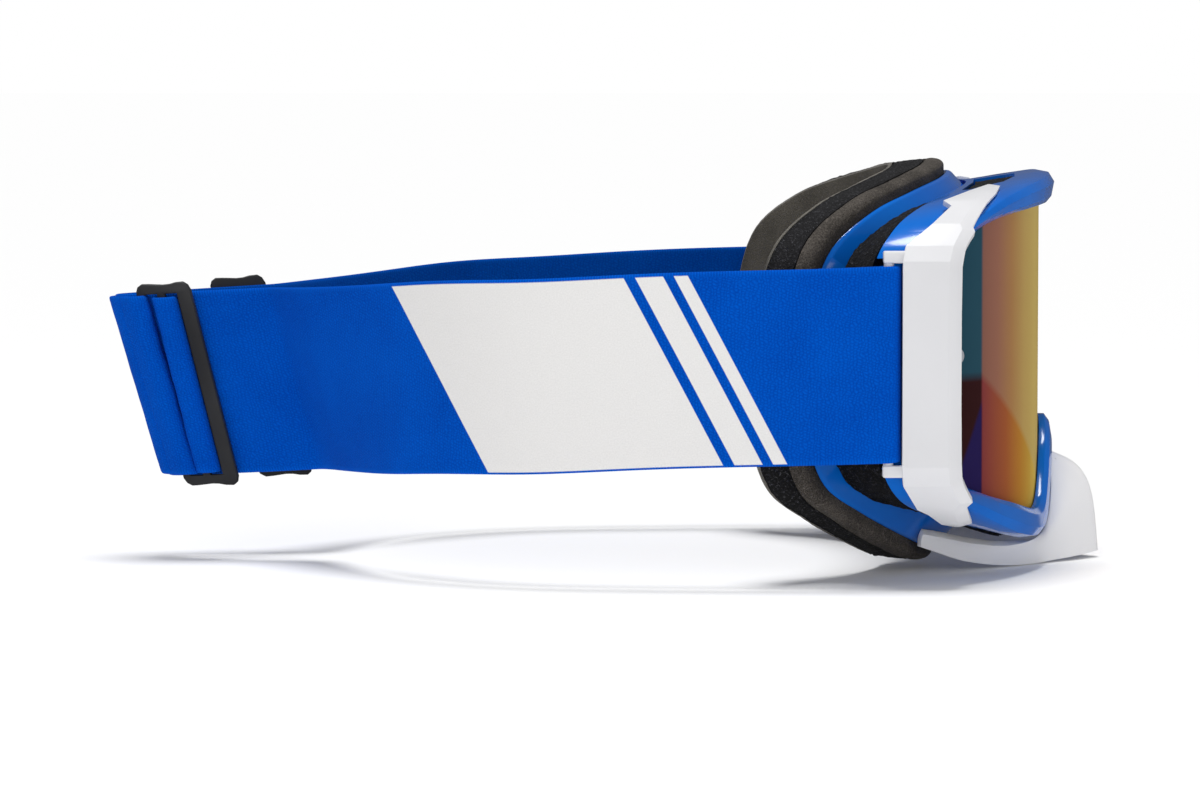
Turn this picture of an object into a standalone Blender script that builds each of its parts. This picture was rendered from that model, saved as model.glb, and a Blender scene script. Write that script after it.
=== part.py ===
"""Motorcycle goggles, facing +X, +Z up, the wearer's left at +Y, in metres.

Lengths below are millimetres from the design datum, a point between the eyes.
The datum sits DATUM_Z above the floor and DATUM_X ahead of the middle of the whole object.
"""
import math

import bmesh
import bpy
from mathutils import Vector

MM = 0.001
DATUM_X = -1.19
DATUM_Z = 40.83

LENS_RADIUS = 110.0
LENS_AXIS_X = 3.8
LENS_THICK = 1.2
LENS_EDGE = 0.34
FACE_LEAN = 0.5
GAP = 0.35

STRAP_HEIGHT = 48.0
STRAP_THICK = 1.5
STRAP_SLOPE = 0.0535
STRAP_BOW = 1.2
STRAP_BOW_LENGTH = 130.0
STRAP_MID_Z = 14.3
STRAP_BACK_SHEAR = 13.8
BAR_X = 70.3
BAR_Y = 86.0
BAR_RADIUS = 1.25
TILT_CUT_RADIUS = 30.0

TAIL_SLOPE = 0.18
TAIL_FRONT_X = -86.0
TAIL_FRONT_Y = 10.75
SLIDER_RIGHT_X = -106.6
SLIDER_LEFT_X = -88.8
SLIDER_LEAN = 0.25
SLIDER_THICK = 2.0
SLIDER_LIFT = 1.4

# Outer frame: inner edge y, z; outer edge y, z; depth behind the lens; where its rear edge
# sits across the band (0 inner, 1 outer); height of the front lip. Top centre to nose.
BEZEL = [
    (0.0, 52.0, 0.0, 60.2, 19.0, 0.65, 1.0),
    (24.0, 51.8, 24.0, 59.3, 18.4, 0.65, 1.0),
    (46.0, 50.6, 48.0, 56.8, 17.5, 0.65, 1.0),
    (61.0, 48.4, 66.0, 52.8, 17.0, 0.68, 0.95),
    (70.2, 43.6, 78.0, 46.8, 17.0, 0.76, 0.6),
    (75.2, 34.0, 84.0, 36.5, 17.5, 0.86, 0.38),
    (76.3, 14.5, 85.3, 14.0, 17.0, 0.88, 0.38),
    (75.6, -5.0, 84.6, -7.0, 16.0, 0.88, 0.38),
    (72.0, -15.0, 80.3, -19.0, 14.5, 0.86, 0.6),
    (64.0, -19.2, 69.0, -25.0, 12.0, 0.85, 0.95),
    (50.0, -22.6, 52.0, -30.2, 6.5, 0.85, 1.0),
    (35.0, -25.4, 34.5, -32.8, 6.0, 0.85, 1.0),
    (26.0, -24.6, 22.8, -32.2, 6.0, 0.85, 1.0),
    (18.3, -18.0, 12.8, -26.2, 6.0, 0.85, 1.0),
    (11.0, -9.0, 6.8, -17.5, 6.0, 0.85, 1.0),
    (0.0, -3.4, 0.0, -12.3, 6.0, 0.85, 1.0),
]
# Face plate: inner edge y, z; rim y, z; rim x.
FACE = [
    (0.0, 48.5, 0.0, 60.1, 89.8),
    (22.0, 47.0, 23.5, 58.6, 86.6),
    (41.0, 44.3, 44.5, 55.4, 77.8),
    (53.2, 40.2, 59.5, 50.6, 67.2),
    (60.2, 34.0, 69.8, 42.0, 57.0),
    (62.4, 25.5, 73.7, 29.5, 52.4),
    (62.6, 12.0, 74.5, 12.0, 51.2),
    (61.8, -2.0, 73.9, -4.5, 51.1),
    (59.0, -9.6, 69.5, -16.8, 55.3),
    (53.5, -14.8, 61.5, -24.2, 64.6),
    (43.5, -19.6, 47.5, -31.2, 75.8),
    (33.5, -23.6, 32.5, -35.5, 83.6),
    (29.0, -22.6, 22.8, -33.8, 86.4),
    (26.2, -18.0, 16.9, -25.5, 88.0),
    (18.5, -4.8, 11.3, -14.5, 89.0),
    (0.0, 4.0, 0.0, -8.0, 89.6),
]
# Side clip: place along the outer frame; outer face y, z; rear x; front x; reach of its front lip.
OUTRIGGER = [
    (2.15, 51.4, 57.4, 97.0, 100.0, 0.97),
    (2.6, 60.4, 56.0, 91.6, 98.4, 0.96),
    (3.1, 69.8, 53.8, 84.6, 95.4, 0.95),
    (3.3, 72.8, 52.6, 86.4, 94.4, 0.95),
    (4.0, 81.2, 48.4, 81.2, 91.2, 0.93),
    (4.55, 86.8, 43.2, 74.4, 89.2, 0.6),
    (5.0, 89.0, 39.4, 73.6, 88.2, 0.3),
    (5.5, 89.0, 27.0, 73.6, 88.0, 0.25),
    (6.4, 89.0, 4.0, 73.6, 88.0, 0.25),
    (7.15, 89.0, -10.8, 73.6, 88.2, 0.3),
    (7.6, 86.8, -15.6, 74.0, 88.6, 0.6),
    (8.2, 81.2, -21.8, 77.8, 90.0, 0.93),
    (8.35, 79.4, -23.2, 80.6, 90.4, 0.94),
    (8.75, 74.6, -26.0, 84.2, 91.4, 0.95),
    (9.0, 71.0, -26.9, 88.0, 92.0, 0.96),
]
# Nose guard outer surface: upper edge then lower edge, centre ridge to the end of the wing.
NOSE_GUARD = [
    ((117.6, 0.0, -13.2), (130.2, 0.0, -39.2)),
    ((117.3, 5.0, -17.6), (126.8, 5.5, -39.6)),
    ((117.0, 9.2, -24.0), (122.6, 10.4, -40.0)),
    ((115.4, 14.2, -31.2), (117.0, 16.0, -40.4)),
    ((111.4, 21.0, -34.6), (110.0, 23.0, -40.8)),
    ((103.6, 30.0, -35.4), (101.4, 31.2, -40.2)),
    ((94.4, 38.6, -34.0), (92.4, 38.8, -38.4)),
    ((86.4, 44.2, -32.0), (85.4, 43.8, -35.8)),
    ((81.6, 46.4, -31.0), (81.0, 46.0, -34.2)),
]
# Edges of the roof window on the left: y, x.
WINDOW_FRONT = [(4.2, 107.4), (20.0, 106.3), (33.0, 102.4), (42.6, 93.0)]
WINDOW_REAR = [(4.2, 97.0), (20.0, 95.6), (33.0, 93.0), (41.0, 91.2), (42.6, 93.0)]
STRAP_PATH = [
    (62.0, 86.4),
    (45.0, 85.5),
    (28.0, 84.5),
    (8.0, 82.8),
    (-8.0, 80.5),
    (-20.0, 77.2),
    (-31.0, 71.7),
    (-40.0, 65.0),
    (-49.0, 56.7),
    (-58.5, 46.6),
    (-68.0, 36.0),
    (-76.5, 25.2),
    (-82.5, 15.6),
    (-85.6, 11.5),
    (-88.2, 10.354),
]


def clear_scene():
    for item in list(bpy.data.objects):
        bpy.data.objects.remove(item, do_unlink=True)


def make_collection(name):
    group = bpy.data.collections.new(name)
    bpy.context.scene.collection.children.link(group)
    return group


clear_scene()
PARTS = make_collection("motorcycle_goggles")
CUTTERS = make_collection("cutters")


def make_material(name, colour, roughness, coat=0.0, sheen=0.0, metallic=0.0):
    mat = bpy.data.materials.new(name)
    mat.use_nodes = True
    shader = mat.node_tree.nodes["Principled BSDF"]
    shader.inputs["Base Color"].default_value = (*colour, 1.0)
    shader.inputs["Roughness"].default_value = roughness
    shader.inputs["Metallic"].default_value = metallic
    shader.inputs["Coat Weight"].default_value = coat
    shader.inputs["Sheen Weight"].default_value = sheen
    mat.diffuse_color = (*colour, 1.0)
    return mat


BLUE = make_material("frame_blue", (0.005, 0.105, 0.62), 0.16, coat=0.6)
WHITE = make_material("clip_white", (0.83, 0.83, 0.85), 0.25, coat=0.3)
BLACK = make_material("slider_black", (0.018, 0.018, 0.02), 0.55)
WEBBING = make_material("strap_blue", (0.004, 0.05, 0.5), 0.85, sheen=0.3)
LENS = make_material("lens_mirror", (0.42, 0.22, 0.09), 0.05, coat=1.0, metallic=0.85)
POST = make_material("post_clear", (0.45, 0.47, 0.5), 0.2)
FOAM_GREY = make_material("foam_grey", (0.08, 0.068, 0.058), 0.95)
FOAM_BLACK = make_material("foam_black", (0.012, 0.012, 0.013), 0.97)
FLEECE = make_material("fleece_brown", (0.085, 0.076, 0.062), 1.0, sheen=0.4)
VENT_FOAM = make_material("vent_foam_black", (0.01, 0.01, 0.011), 0.98)


def place(x, y, z):
    return Vector(((x + DATUM_X) * MM, y * MM, (z + DATUM_Z) * MM))


def ease(rows, steps, closed):
    """A smooth run of rows through the given ones, every column eased alike."""
    count = len(rows)
    out = []
    for i in range(count if closed else count - 1):
        ids = [i - 1, i, i + 1, i + 2]
        if closed:
            ids = [k % count for k in ids]
        else:
            ids = [min(max(k, 0), count - 1) for k in ids]
        out += [mix_rows([rows[k] for k in ids], j / steps) for j in range(steps)]
    if not closed:
        out.append(tuple(rows[-1]))
    return out


def spread(rows, steps):
    """Rows evenly between the given ones, in straight runs."""
    out = []
    for one, two in zip(rows, rows[1:]):
        for j in range(steps):
            out.append(tuple(a + (b - a) * j / steps for a, b in zip(one, two)))
    out.append(tuple(rows[-1]))
    return out


def mix_rows(four, t):
    row = []
    for a, b, c, d in zip(*four):
        row.append(0.5 * (2 * b + (c - a) * t + (2 * a - 5 * b + 4 * c - d) * t * t
                          + (3 * b - a - 3 * c + d) * t ** 3))
    return tuple(row)


def all_round(half):
    """The half outline and its mirror, as one closed run. Columns 0 and 2 are y."""
    other = [(-r[0], r[1], -r[2]) + tuple(r[3:]) for r in reversed(half[1:-1])]
    return list(half) + other


def row_at(half, t):
    """One row at a place between the named ones, on the left side."""
    i = min(int(t), len(half) - 2)
    ring = all_round(half)
    count = len(ring)
    return mix_rows([ring[k % count] for k in (i - 1, i, i + 1, i + 2)], t - i)


def lens_x(y):
    return LENS_AXIS_X + math.sqrt(LENS_RADIUS ** 2 - y * y)


def bezel_point(row, s, v, local=False):
    y = row[0] + (row[2] - row[0]) * s
    z = row[1] + (row[3] - row[1]) * s
    return Vector((lens_x(y if local else row[0]) + v, y, z))


def face_point(row, s, dx):
    y = row[0] + (row[2] - row[0]) * s
    z = row[1] + (row[3] - row[1]) * s
    lean = FACE_LEAN * abs(row[2]) / 74.0
    return Vector((row[4] + lean * (abs(row[2]) - abs(y)) + dx, y, z))


def add_object(name, mesh, material, group=None):
    obj = bpy.data.objects.new(name, mesh)
    (group or PARTS).objects.link(obj)
    if material:
        mesh.materials.append(material)
    return obj


def loft(name, sections, material, closed=False, group=None):
    """A solid through sections of equal point count, given in millimetres."""
    bm = bmesh.new()
    rings = [[bm.verts.new(place(*p)) for p in sec] for sec in sections]
    count = len(rings[0])
    pairs = list(zip(rings, rings[1:]))
    if closed:
        pairs.append((rings[-1], rings[0]))
    for one, two in pairs:
        for j in range(count):
            k = (j + 1) % count
            bm.faces.new((one[j], one[k], two[k], two[j]))
    if not closed:
        bm.faces.new(list(reversed(rings[0])))
        bm.faces.new(rings[-1])
    bmesh.ops.recalc_face_normals(bm, faces=bm.faces)
    mesh = bpy.data.meshes.new(name)
    bm.to_mesh(mesh)
    bm.free()
    return add_object(name, mesh, material, group)


def box(name, low, high, material=None, group=None):
    corners = [(0, 0), (1, 0), (1, 1), (0, 1)]
    spans = [[(low, high)[a][0], (low, high)[b][1]] for a, b in corners]
    sections = [[(x, y, z) for x, y in spans] for z in (low[2], high[2])]
    return loft(name, sections, material, group=group)


def cylinder(name, centre, axis, radius, length, segments, material=None, group=None):
    axis = Vector(axis).normalized()
    side = axis.orthogonal().normalized()
    up = axis.cross(side)
    sections = []
    for end in (-0.5, 0.5):
        base = Vector(centre) + axis * length * end
        turns = [2 * math.pi * k / segments for k in range(segments)]
        sections.append([base + (side * math.cos(a) + up * math.sin(a)) * radius for a in turns])
    return loft(name, sections, material, group=group)


def cut(obj, cutter, operation="DIFFERENCE"):
    cutter.hide_render = True
    cutter.display_type = "WIRE"
    mod = obj.modifiers.new(operation.lower() + "_" + cutter.name, "BOOLEAN")
    mod.operation = operation
    mod.solver = "EXACT"
    mod.object = cutter


def set_origin(obj, x, y, z):
    point = place(x, y, z)
    for vert in obj.data.vertices:
        vert.co -= point
    obj.location = point


def mirrored(points, side):
    return [(p[0], p[1] * side, p[2]) for p in points]


def strap_shear(x, h):
    """How far a point low on the strap sits ahead of the one above it, near the back."""
    t = min(max((-45.0 - x) / 43.0, 0.0), 1.0)
    return x + STRAP_BACK_SHEAR * t * t * (3 - 2 * t) * (1 - h)


def strap_z(x, h):
    """Height at a place along the strap, h running from its lower edge (0) to its upper (1)."""
    back = min(max(72.0 - x, 0.0), STRAP_BOW_LENGTH)
    bow = STRAP_BOW * math.sin(math.pi * back / STRAP_BOW_LENGTH) ** 2
    return STRAP_MID_Z + STRAP_SLOPE * (x - 72.0) + bow + STRAP_HEIGHT * (h - 0.5)


# ---------------------------------------------------------------- frame

def eave_point(row):
    """Inner corner of the outer frame's rear edge, which is chamfered where the frame is deep."""
    return bezel_point(row, row[5] - 0.2, -row[4] + 0.12 * (row[4] - 6.0))


def bezel_section(row):
    depth, tail, lip = row[4], row[5], row[6]
    return [
        bezel_point(row, 0.0, 0.35, True),
        bezel_point(row, 0.0, max(1.2, 2.0 * lip)),
        bezel_point(row, 0.2, max(1.25, 3.3 * lip)),
        bezel_point(row, 0.65, 4.0 * lip),
        bezel_point(row, 0.93, 2.6 * lip),
        bezel_point(row, 1.0, -0.5),
        bezel_point(row, tail, -depth),
        eave_point(row),
        bezel_point(row, 0.66, -5.5, True),
        bezel_point(row, 0.1, -4.2, True),
        bezel_point(row, 0.08, -1.6, True),
        bezel_point(row, 0.4, -1.6, True),
        bezel_point(row, 0.4, 0.35, True),
    ]


def vent_window(name, side):
    """The opening through the frame's roof on one side of the middle rib."""
    outline = WINDOW_FRONT + list(reversed(WINDOW_REAR[:-1]))
    sections = [[(x, y * side, z) for y, x in outline] for z in (50.0, 66.0)]
    return loft(name, sections, None, group=CUTTERS)


def make_lens_frame():
    rows = ease(all_round(BEZEL), 3, True)
    frame = loft("lens_frame", [bezel_section(r) for r in rows], BLUE, closed=True)
    for side, word in ((1, "left"), (-1, "right")):
        cut(frame, vent_window("roof_window_" + word, side))
        low = (58.0, 78.0 if side > 0 else -92.0, -11.4)
        high = (74.4, 92.0 if side > 0 else -78.0, 39.9)
        cut(frame, box("strap_notch_" + word, low, high, group=CUTTERS))
    return frame


def tunnel_ends(brow, frow):
    """Outer surface of the wall that joins the face plate to the outer frame."""
    return face_point(frow, 0.44, 7.0), bezel_point(brow, 0.34, -6.6, True)


def make_face_frame():
    sections = []
    for brow, frow in zip(ease(all_round(BEZEL), 3, True), ease(all_round(FACE), 3, True)):
        rear, front = tunnel_ends(brow, frow)
        sections.append([
            face_point(frow, 1.0, 0.0),
            face_point(frow, 0.98, 1.3),
            rear,
            front,
            bezel_point(brow, 0.08, -6.2, True),
            face_point(frow, 0.27, 5.0),
            face_point(frow, 0.0, 1.8),
            face_point(frow, 0.0, 0.0),
        ])
    return loft("face_frame", sections, BLUE, closed=True)


def make_lens():
    """A sheet bent one way about an upright axis, let into the groove of the outer frame."""
    rows = ease(all_round(BEZEL), 4, True)[:4 * len(BEZEL) - 3]
    half = [bezel_point(r, LENS_EDGE, 0.0, True) for r in rows]
    widest = max(range(len(half)), key=lambda k: half[k].y)
    upper = [(p.y, p.z) for p in half[:widest + 1]]
    lower = [(p.y, p.z) for p in reversed(half[widest:])]
    stops = [0.0, 3.0, 6.0, 9.0, 12.0, 15.0, 18.5, 22.0, 26.0, 31.0, 37.0, 43.0, 49.0, 55.0,
             60.5, 65.0, 69.0, 72.5, 75.5, 77.8, half[widest].y - 0.15]
    sections = []
    for y in [-s for s in reversed(stops[1:])] + stops:
        high = height_at(upper, abs(y))
        low = height_at(lower, abs(y))
        front = lens_x(y)
        back = front - LENS_THICK
        sections.append([(front, y, low), (front, y, high), (back, y, high), (back, y, low)])
    return loft("lens", sections, LENS)


def height_at(line, y):
    for (y0, z0), (y1, z1) in zip(line, line[1:]):
        if y0 <= y <= y1 and y1 > y0:
            return z0 + (z1 - z0) * (y - y0) / (y1 - y0)
    return line[-1][1]


def make_post(word, side):
    """A button on the lens that tear-off films hook over."""
    y = 72.4
    out = Vector((math.sqrt(LENS_RADIUS ** 2 - y * y), y * side, 0.0)).normalized()
    foot = Vector((lens_x(y), y * side, 15.6)) + out * 0.25
    profile = [(1.6, 0.0), (1.2, 0.5), (1.2, 1.1), (1.9, 1.4), (1.9, 2.1), (1.5, 2.5)]
    across = Vector((-out.y, out.x, 0.0))
    sections = []
    for radius, height in profile:
        ring = []
        for k in range(20):
            a = 2 * math.pi * k / 20
            ring.append(foot + out * height + across * radius * math.cos(a)
                        + Vector((0, 0, radius * math.sin(a))))
        sections.append(ring)
    return loft("tear_off_post_" + word, sections, POST)


# ---------------------------------------------------------------- foam

def roof_foam_section(t):
    """The roof's foam under the frame, rising through its window to just below the surface."""
    brow, frow = row_at(BEZEL, t), row_at(FACE, t)
    rear, front = tunnel_ends(brow, frow)
    drop = Vector((0.0, 0.0, GAP + 0.1))
    eave, inner = eave_point(brow), bezel_point(brow, 0.66, -5.5, True)
    low_front, low_rear = eave.lerp(inner, 0.9) - drop, eave.lerp(inner, 0.22) - drop
    y = low_rear.y
    x1 = height_at(WINDOW_FRONT, y) - 0.5
    x0 = min(height_at(WINDOW_REAR, y) + 0.5, x1 - 0.5)
    edge, tail = bezel_point(brow, 1.0, -0.5), bezel_point(brow, brow[5], -brow[4])
    share = min(max((x1 - x0 - 0.5) / 2.0, 0.0), 1.0)
    rise = []
    for x in (x1, x0):
        under = low_rear.z + (low_front.z - low_rear.z) * (x - low_rear.x) / (low_front.x - low_rear.x)
        roof = tail.z + (edge.z - tail.z) * (x - tail.x) / (edge.x - tail.x) - 0.7
        rise.append((under, under + max(roof - under, 0.2) * share))
    return [rear.lerp(front, 0.12) + drop, rear.lerp(front, 0.92) + drop, low_front,
            Vector((x1, y, rise[0][0])), Vector((x1, y, rise[0][1])),
            Vector((x0, y, rise[1][1])), Vector((x0, y, rise[1][0])), low_rear]


def make_roof_foam(word, side):
    sections = [mirrored(roof_foam_section(0.24 + 1.46 * k / 8), side) for k in range(9)]
    return loft("vent_foam_top_" + word, sections, VENT_FOAM)


def make_side_foam(word, side):
    sections = []
    count = 34
    for k in range(count + 1):
        t = 2.35 + (12.3 - 2.35) * k / count
        brow, frow = row_at(BEZEL, t), row_at(FACE, t)
        rear, front = tunnel_ends(brow, frow)
        depth = brow[4]
        out = Vector((0.0, brow[2] - brow[0], brow[3] - brow[1])).normalized() * 0.65
        reach = min(1.04 - 0.04 * depth + 0.12, 0.9)
        swell = 0.6 + 0.34 * (17.0 - depth) / 11.0
        inset = 0.38 + 0.5 * min(max((t - 8.9) / 0.9, 0.0), 1.0)
        foot = face_point(frow, 0.98, 1.3).lerp(rear, inset) + Vector((0.6, 0.0, 0.0))
        sections.append(mirrored([
            foot,
            rear.lerp(front, 0.08) + out,
            rear.lerp(front, reach) + out,
            bezel_point(brow, min(swell, 0.94), -depth - 0.5),
            foot + Vector((1.1, 0.0, 0.0)) + out * 0.5,
        ], side))
    return loft("vent_foam_side_" + word, sections, VENT_FOAM)


def make_face_foam(name, profile, material):
    rows = ease(all_round(FACE), 3, True)
    sections = []
    for r in rows:
        full = 1.0 + 0.14 * (r[4] - 51.0) / 39.0
        sections.append([face_point(r, s, dx * full) for s, dx in profile])
    return loft(name, sections, material, closed=True)


def make_face_foams():
    make_face_foam("foam_base_layer", [(0.0, -0.5), (1.12, -0.5), (1.24, -1.6), (1.26, -3.8),
                                       (1.18, -4.9), (0.0, -4.9)], FOAM_GREY)
    make_face_foam("foam_middle_layer", [(0.0, -5.3), (1.2, -5.3), (1.12, -11.8),
                                         (0.06, -11.8)], FOAM_BLACK)
    make_face_foam("foam_face_fleece", [(0.06, -12.2), (1.12, -12.2), (1.09, -13.3),
                                        (0.09, -13.3)], FLEECE)


# ---------------------------------------------------------------- clips and nose guard

def outrigger_section(row, side):
    t, out_y, out_z, rear, front, lip = row
    brow = row_at(BEZEL, t)
    edge = bezel_point(brow, 1.0, 0.0)
    across = Vector((0.0, brow[2] - brow[0], brow[3] - brow[1]))
    inner = edge + across.normalized() * GAP
    crest = lens_x(brow[0]) + 4.0 * brow[6] + GAP
    front = max(front, crest + 1.3) if lip <= 0.9 else front
    if lip > 0.9:
        crest = front - 1.0
        reach = inner + across.normalized() * 0.02
    else:
        reach = bezel_point(brow, lip, 0.0)
    outer = Vector((0.0, out_y, out_z))
    chamfer = outer.lerp(inner, 0.5)
    return mirrored([
        (rear, inner.y, inner.z),
        (crest, inner.y, inner.z),
        (crest, reach.y, reach.z),
        (front, reach.y, reach.z),
        (front, chamfer.y, chamfer.z),
        (max(front - 3.2, rear + 0.5), outer.y, outer.z),
        (rear, outer.y, outer.z),
    ], side)


def make_outrigger(word, side):
    rows = spread(OUTRIGGER, 3)
    clip = loft("outrigger_" + word, [outrigger_section(r, side) for r in rows], WHITE)
    for end, low, high in (("upper", 38.9, 41.9), ("lower", -13.4, -10.4)):
        y0, y1 = sorted((84.5 * side, 87.7 * side))
        lug = box(f"lug_{end}_{word}", (68.9, y0, low), (75.6, y1, high), group=CUTTERS)
        cut(clip, lug, "UNION")
    bar = cylinder("strap_bar_" + word, (BAR_X, BAR_Y * side, 14.25), (0, 0, 1),
                   BAR_RADIUS, 52.5, 16, group=CUTTERS)
    cut(clip, bar, "UNION")
    return clip


def make_nose_guard():
    half = []
    for top, low in NOSE_GUARD:
        top, low = Vector(top), Vector(low)
        points = []
        for f, g in ((0.0, 0.0), (0.45, 0.1), (0.74, 0.26), (0.9, 0.52), (1.0, 1.0)):
            points.append((top.x + (low.x - top.x) * f, top.y + (low.y - top.y) * f,
                           top.z + (low.z - top.z) * g))
        half.append([c for p in points for c in p])
    flip = [[c * (-1 if k % 3 == 1 else 1) for k, c in enumerate(r)] for r in half]
    rows = ease(list(reversed(flip[1:])) + half, 2, False)
    bm = bmesh.new()
    lines = [[bm.verts.new(place(*r[k:k + 3])) for k in range(0, len(r), 3)] for r in rows]
    for one, two in zip(lines, lines[1:]):
        for j in range(len(one) - 1):
            bm.faces.new((one[j], one[j + 1], two[j + 1], two[j]))
    bmesh.ops.recalc_face_normals(bm, faces=bm.faces)
    bm.normal_update()
    if max(bm.faces, key=lambda f: f.calc_center_median().x).normal.x < 0:
        bmesh.ops.reverse_faces(bm, faces=bm.faces)
    mesh = bpy.data.meshes.new("nose_guard")
    bm.to_mesh(mesh)
    bm.free()
    guard = add_object("nose_guard", mesh, WHITE)
    skin = guard.modifiers.new("wall", "SOLIDIFY")
    skin.thickness = 2.0 * MM
    skin.offset = -1.0
    skin.use_even_offset = False
    tongue = box("nose_tongue", (109.5, -2.6, -16.6), (119.4, 2.6, -15.0), group=CUTTERS)
    cut(guard, tongue, "UNION")
    set_origin(guard, 117.6, 0.0, -15.8)
    return guard


# ---------------------------------------------------------------- strap

def tilt_cylinder(name, radius):
    return cylinder(name, (BAR_X, 0.0, STRAP_MID_Z), (0, 1, 0), radius, 200.0, 72, group=CUTTERS)


def strap_slice(centre, normal, thick, low_h=0.0, high_h=1.0):
    """Four corners of the webbing at one place along its path."""
    out = []
    for off, h in ((0.5, low_h), (0.5, high_h), (-0.5, high_h), (-0.5, low_h)):
        x, y = centre[0] + normal[0] * thick * off, centre[1] + normal[1] * thick * off
        sheared = strap_shear(x, h)
        out.append((sheared, y, strap_z(sheared, h)))
    return out


def path_normals(path):
    out = []
    for k in range(len(path)):
        a, b = path[max(k - 1, 0)], path[min(k + 1, len(path) - 1)]
        dx, dy = b[0] - a[0], b[1] - a[1]
        size = math.hypot(dx, dy)
        out.append((-dy / size, dx / size))
    return out


def tail_y(x):
    """Middle of the webbing's thickness where the two sides run back together."""
    return TAIL_FRONT_Y + TAIL_SLOPE * (x - TAIL_FRONT_X)


def turn_points(radius, steps):
    """The bend round the back, from the left side to the right."""
    lean = math.atan(TAIL_SLOPE)
    centre_x = -121.5
    out = []
    for k in range(steps + 1):
        a = math.pi / 2 + lean + (math.pi - 2 * lean) * k / steps
        out.append((centre_x + radius * math.cos(a), radius * math.sin(a)))
    return out


def make_strap():
    side = ease(STRAP_PATH, 2, False) + [(x, tail_y(x)) for x in (-97.0, -105.0, -113.0)]
    turn = turn_points(tail_y(-121.5), 10)
    path = side + turn + [(x, -y) for x, y in reversed(side)]
    slices = [strap_slice(c, n, STRAP_THICK) for c, n in zip(path, path_normals(path))]
    strap = loft("strap", slices, WEBBING)
    cut(strap, tilt_cylinder("strap_tilt_cut", TILT_CUT_RADIUS + 0.3))
    set_origin(strap, BAR_X, 0.0, STRAP_MID_Z)
    return strap


def make_back_fold():
    """The outer turn of webbing that closes the strap behind the sliders."""
    path = turn_points(tail_y(-121.5) + STRAP_THICK / 2 + GAP + 0.6, 12)
    slices = [strap_slice(c, n, 1.0, 0.01, 0.99) for c, n in zip(path, path_normals(path))]
    return loft("strap_back_fold", slices, WEBBING)


def bar_loop(word, side):
    """Plan outline of the webbing where it turns round the clip's bar and is sewn back."""
    turns = [math.radians(a) for a in range(100, -101, -20)]
    outer = [(36.0, 85.75), (58.0, 87.05), (66.4, 88.6)]
    outer += [(BAR_X + 2.9 * math.cos(a), BAR_Y + 2.9 * math.sin(a)) for a in turns]
    outer += [(66.2, 83.3), (60.0, 83.95), (53.0, 83.7), (52.4, 85.2), (36.0, 84.25)]
    inner = [(BAR_X + 1.55 * math.cos(a), BAR_Y + 1.55 * math.sin(a)) for a in turns]
    inner += [(64.6, 85.85)]
    data = bpy.data.curves.new("strap_end_" + word, "CURVE")
    data.dimensions = "2D"
    data.fill_mode = "BOTH"
    data.extrude = STRAP_HEIGHT / 2 * MM
    for ring in (outer, inner):
        spline = data.splines.new("POLY")
        spline.points.add(len(ring) - 1)
        for point, (x, y) in zip(spline.points, ring):
            point.co = ((x + DATUM_X) * MM, y * side * MM, 0.0, 1.0)
        spline.use_cyclic_u = True
    return data


def curve_to_mesh(name, data):
    """A curve's solid as a mesh with its seams joined."""
    holder = bpy.data.objects.new("outline_" + name, data)
    PARTS.objects.link(holder)
    graph = bpy.context.evaluated_depsgraph_get()
    mesh = bpy.data.meshes.new_from_object(holder.evaluated_get(graph))
    bpy.data.objects.remove(holder, do_unlink=True)
    bm = bmesh.new()
    bm.from_mesh(mesh)
    bmesh.ops.remove_doubles(bm, verts=bm.verts, dist=0.00001)
    bmesh.ops.recalc_face_normals(bm, faces=bm.faces)
    bm.to_mesh(mesh)
    bm.free()
    mesh.name = name
    return mesh


def make_strap_end(word, side):
    mesh = curve_to_mesh("strap_end_" + word, bar_loop(word, side))
    for vert in mesh.vertices:
        h = 0.5 + 0.5 * vert.co.z / (STRAP_HEIGHT / 2 * MM)
        x = vert.co.x / MM - DATUM_X
        vert.co.z = (strap_z(x, h) + DATUM_Z) * MM
    end = add_object("strap_end_" + word, mesh, None)
    mesh.materials.clear()
    mesh.materials.append(WEBBING)
    cut(end, tilt_cylinder("strap_end_round_" + word, TILT_CUT_RADIUS), "INTERSECT")
    return end


# ---------------------------------------------------------------- sliders

def slider_frame(centre_x, side):
    """Middle of the slider and its three directions: along the strap, up the bars, outward."""
    top_x = centre_x - STRAP_BACK_SHEAR / 2
    along = Vector((1.0, TAIL_SLOPE * side, STRAP_SLOPE)).normalized()
    rise = (1.0 + STRAP_SLOPE * SLIDER_LEAN) * STRAP_BACK_SHEAR / STRAP_HEIGHT
    up = Vector((-SLIDER_LEAN, TAIL_SLOPE * (rise - SLIDER_LEAN) * side, 1.0)).normalized()
    out = up.cross(along).normalized() * side
    surface = Vector((centre_x, tail_y(top_x) * side, strap_z(centre_x, 0.5)))
    return surface + out * (STRAP_THICK / 2 + SLIDER_LIFT), along, up, out


def slab(name, outlines, thick, frame, material):
    """A flat outline with holes, given thickness, then stood in the slider's directions."""
    data = bpy.data.curves.new(name, "CURVE")
    data.dimensions = "2D"
    data.fill_mode = "BOTH"
    data.extrude = thick / 2 * MM
    for ring in outlines:
        spline = data.splines.new("POLY")
        spline.points.add(len(ring) - 1)
        for point, (a, b) in zip(spline.points, ring):
            point.co = (a * MM, b * MM, 0.0, 1.0)
        spline.use_cyclic_u = True
    mesh = curve_to_mesh(name, data)
    middle, along, up, out = frame
    for vert in mesh.vertices:
        vert.co = along * vert.co.x + up * vert.co.y + out * vert.co.z
    bm = bmesh.new()
    bm.from_mesh(mesh)
    bmesh.ops.recalc_face_normals(bm, faces=bm.faces)
    bm.to_mesh(mesh)
    bm.free()
    obj = add_object(name, mesh, None)
    mesh.materials.clear()
    mesh.materials.append(material)
    obj.location = place(*middle)
    return obj


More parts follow.
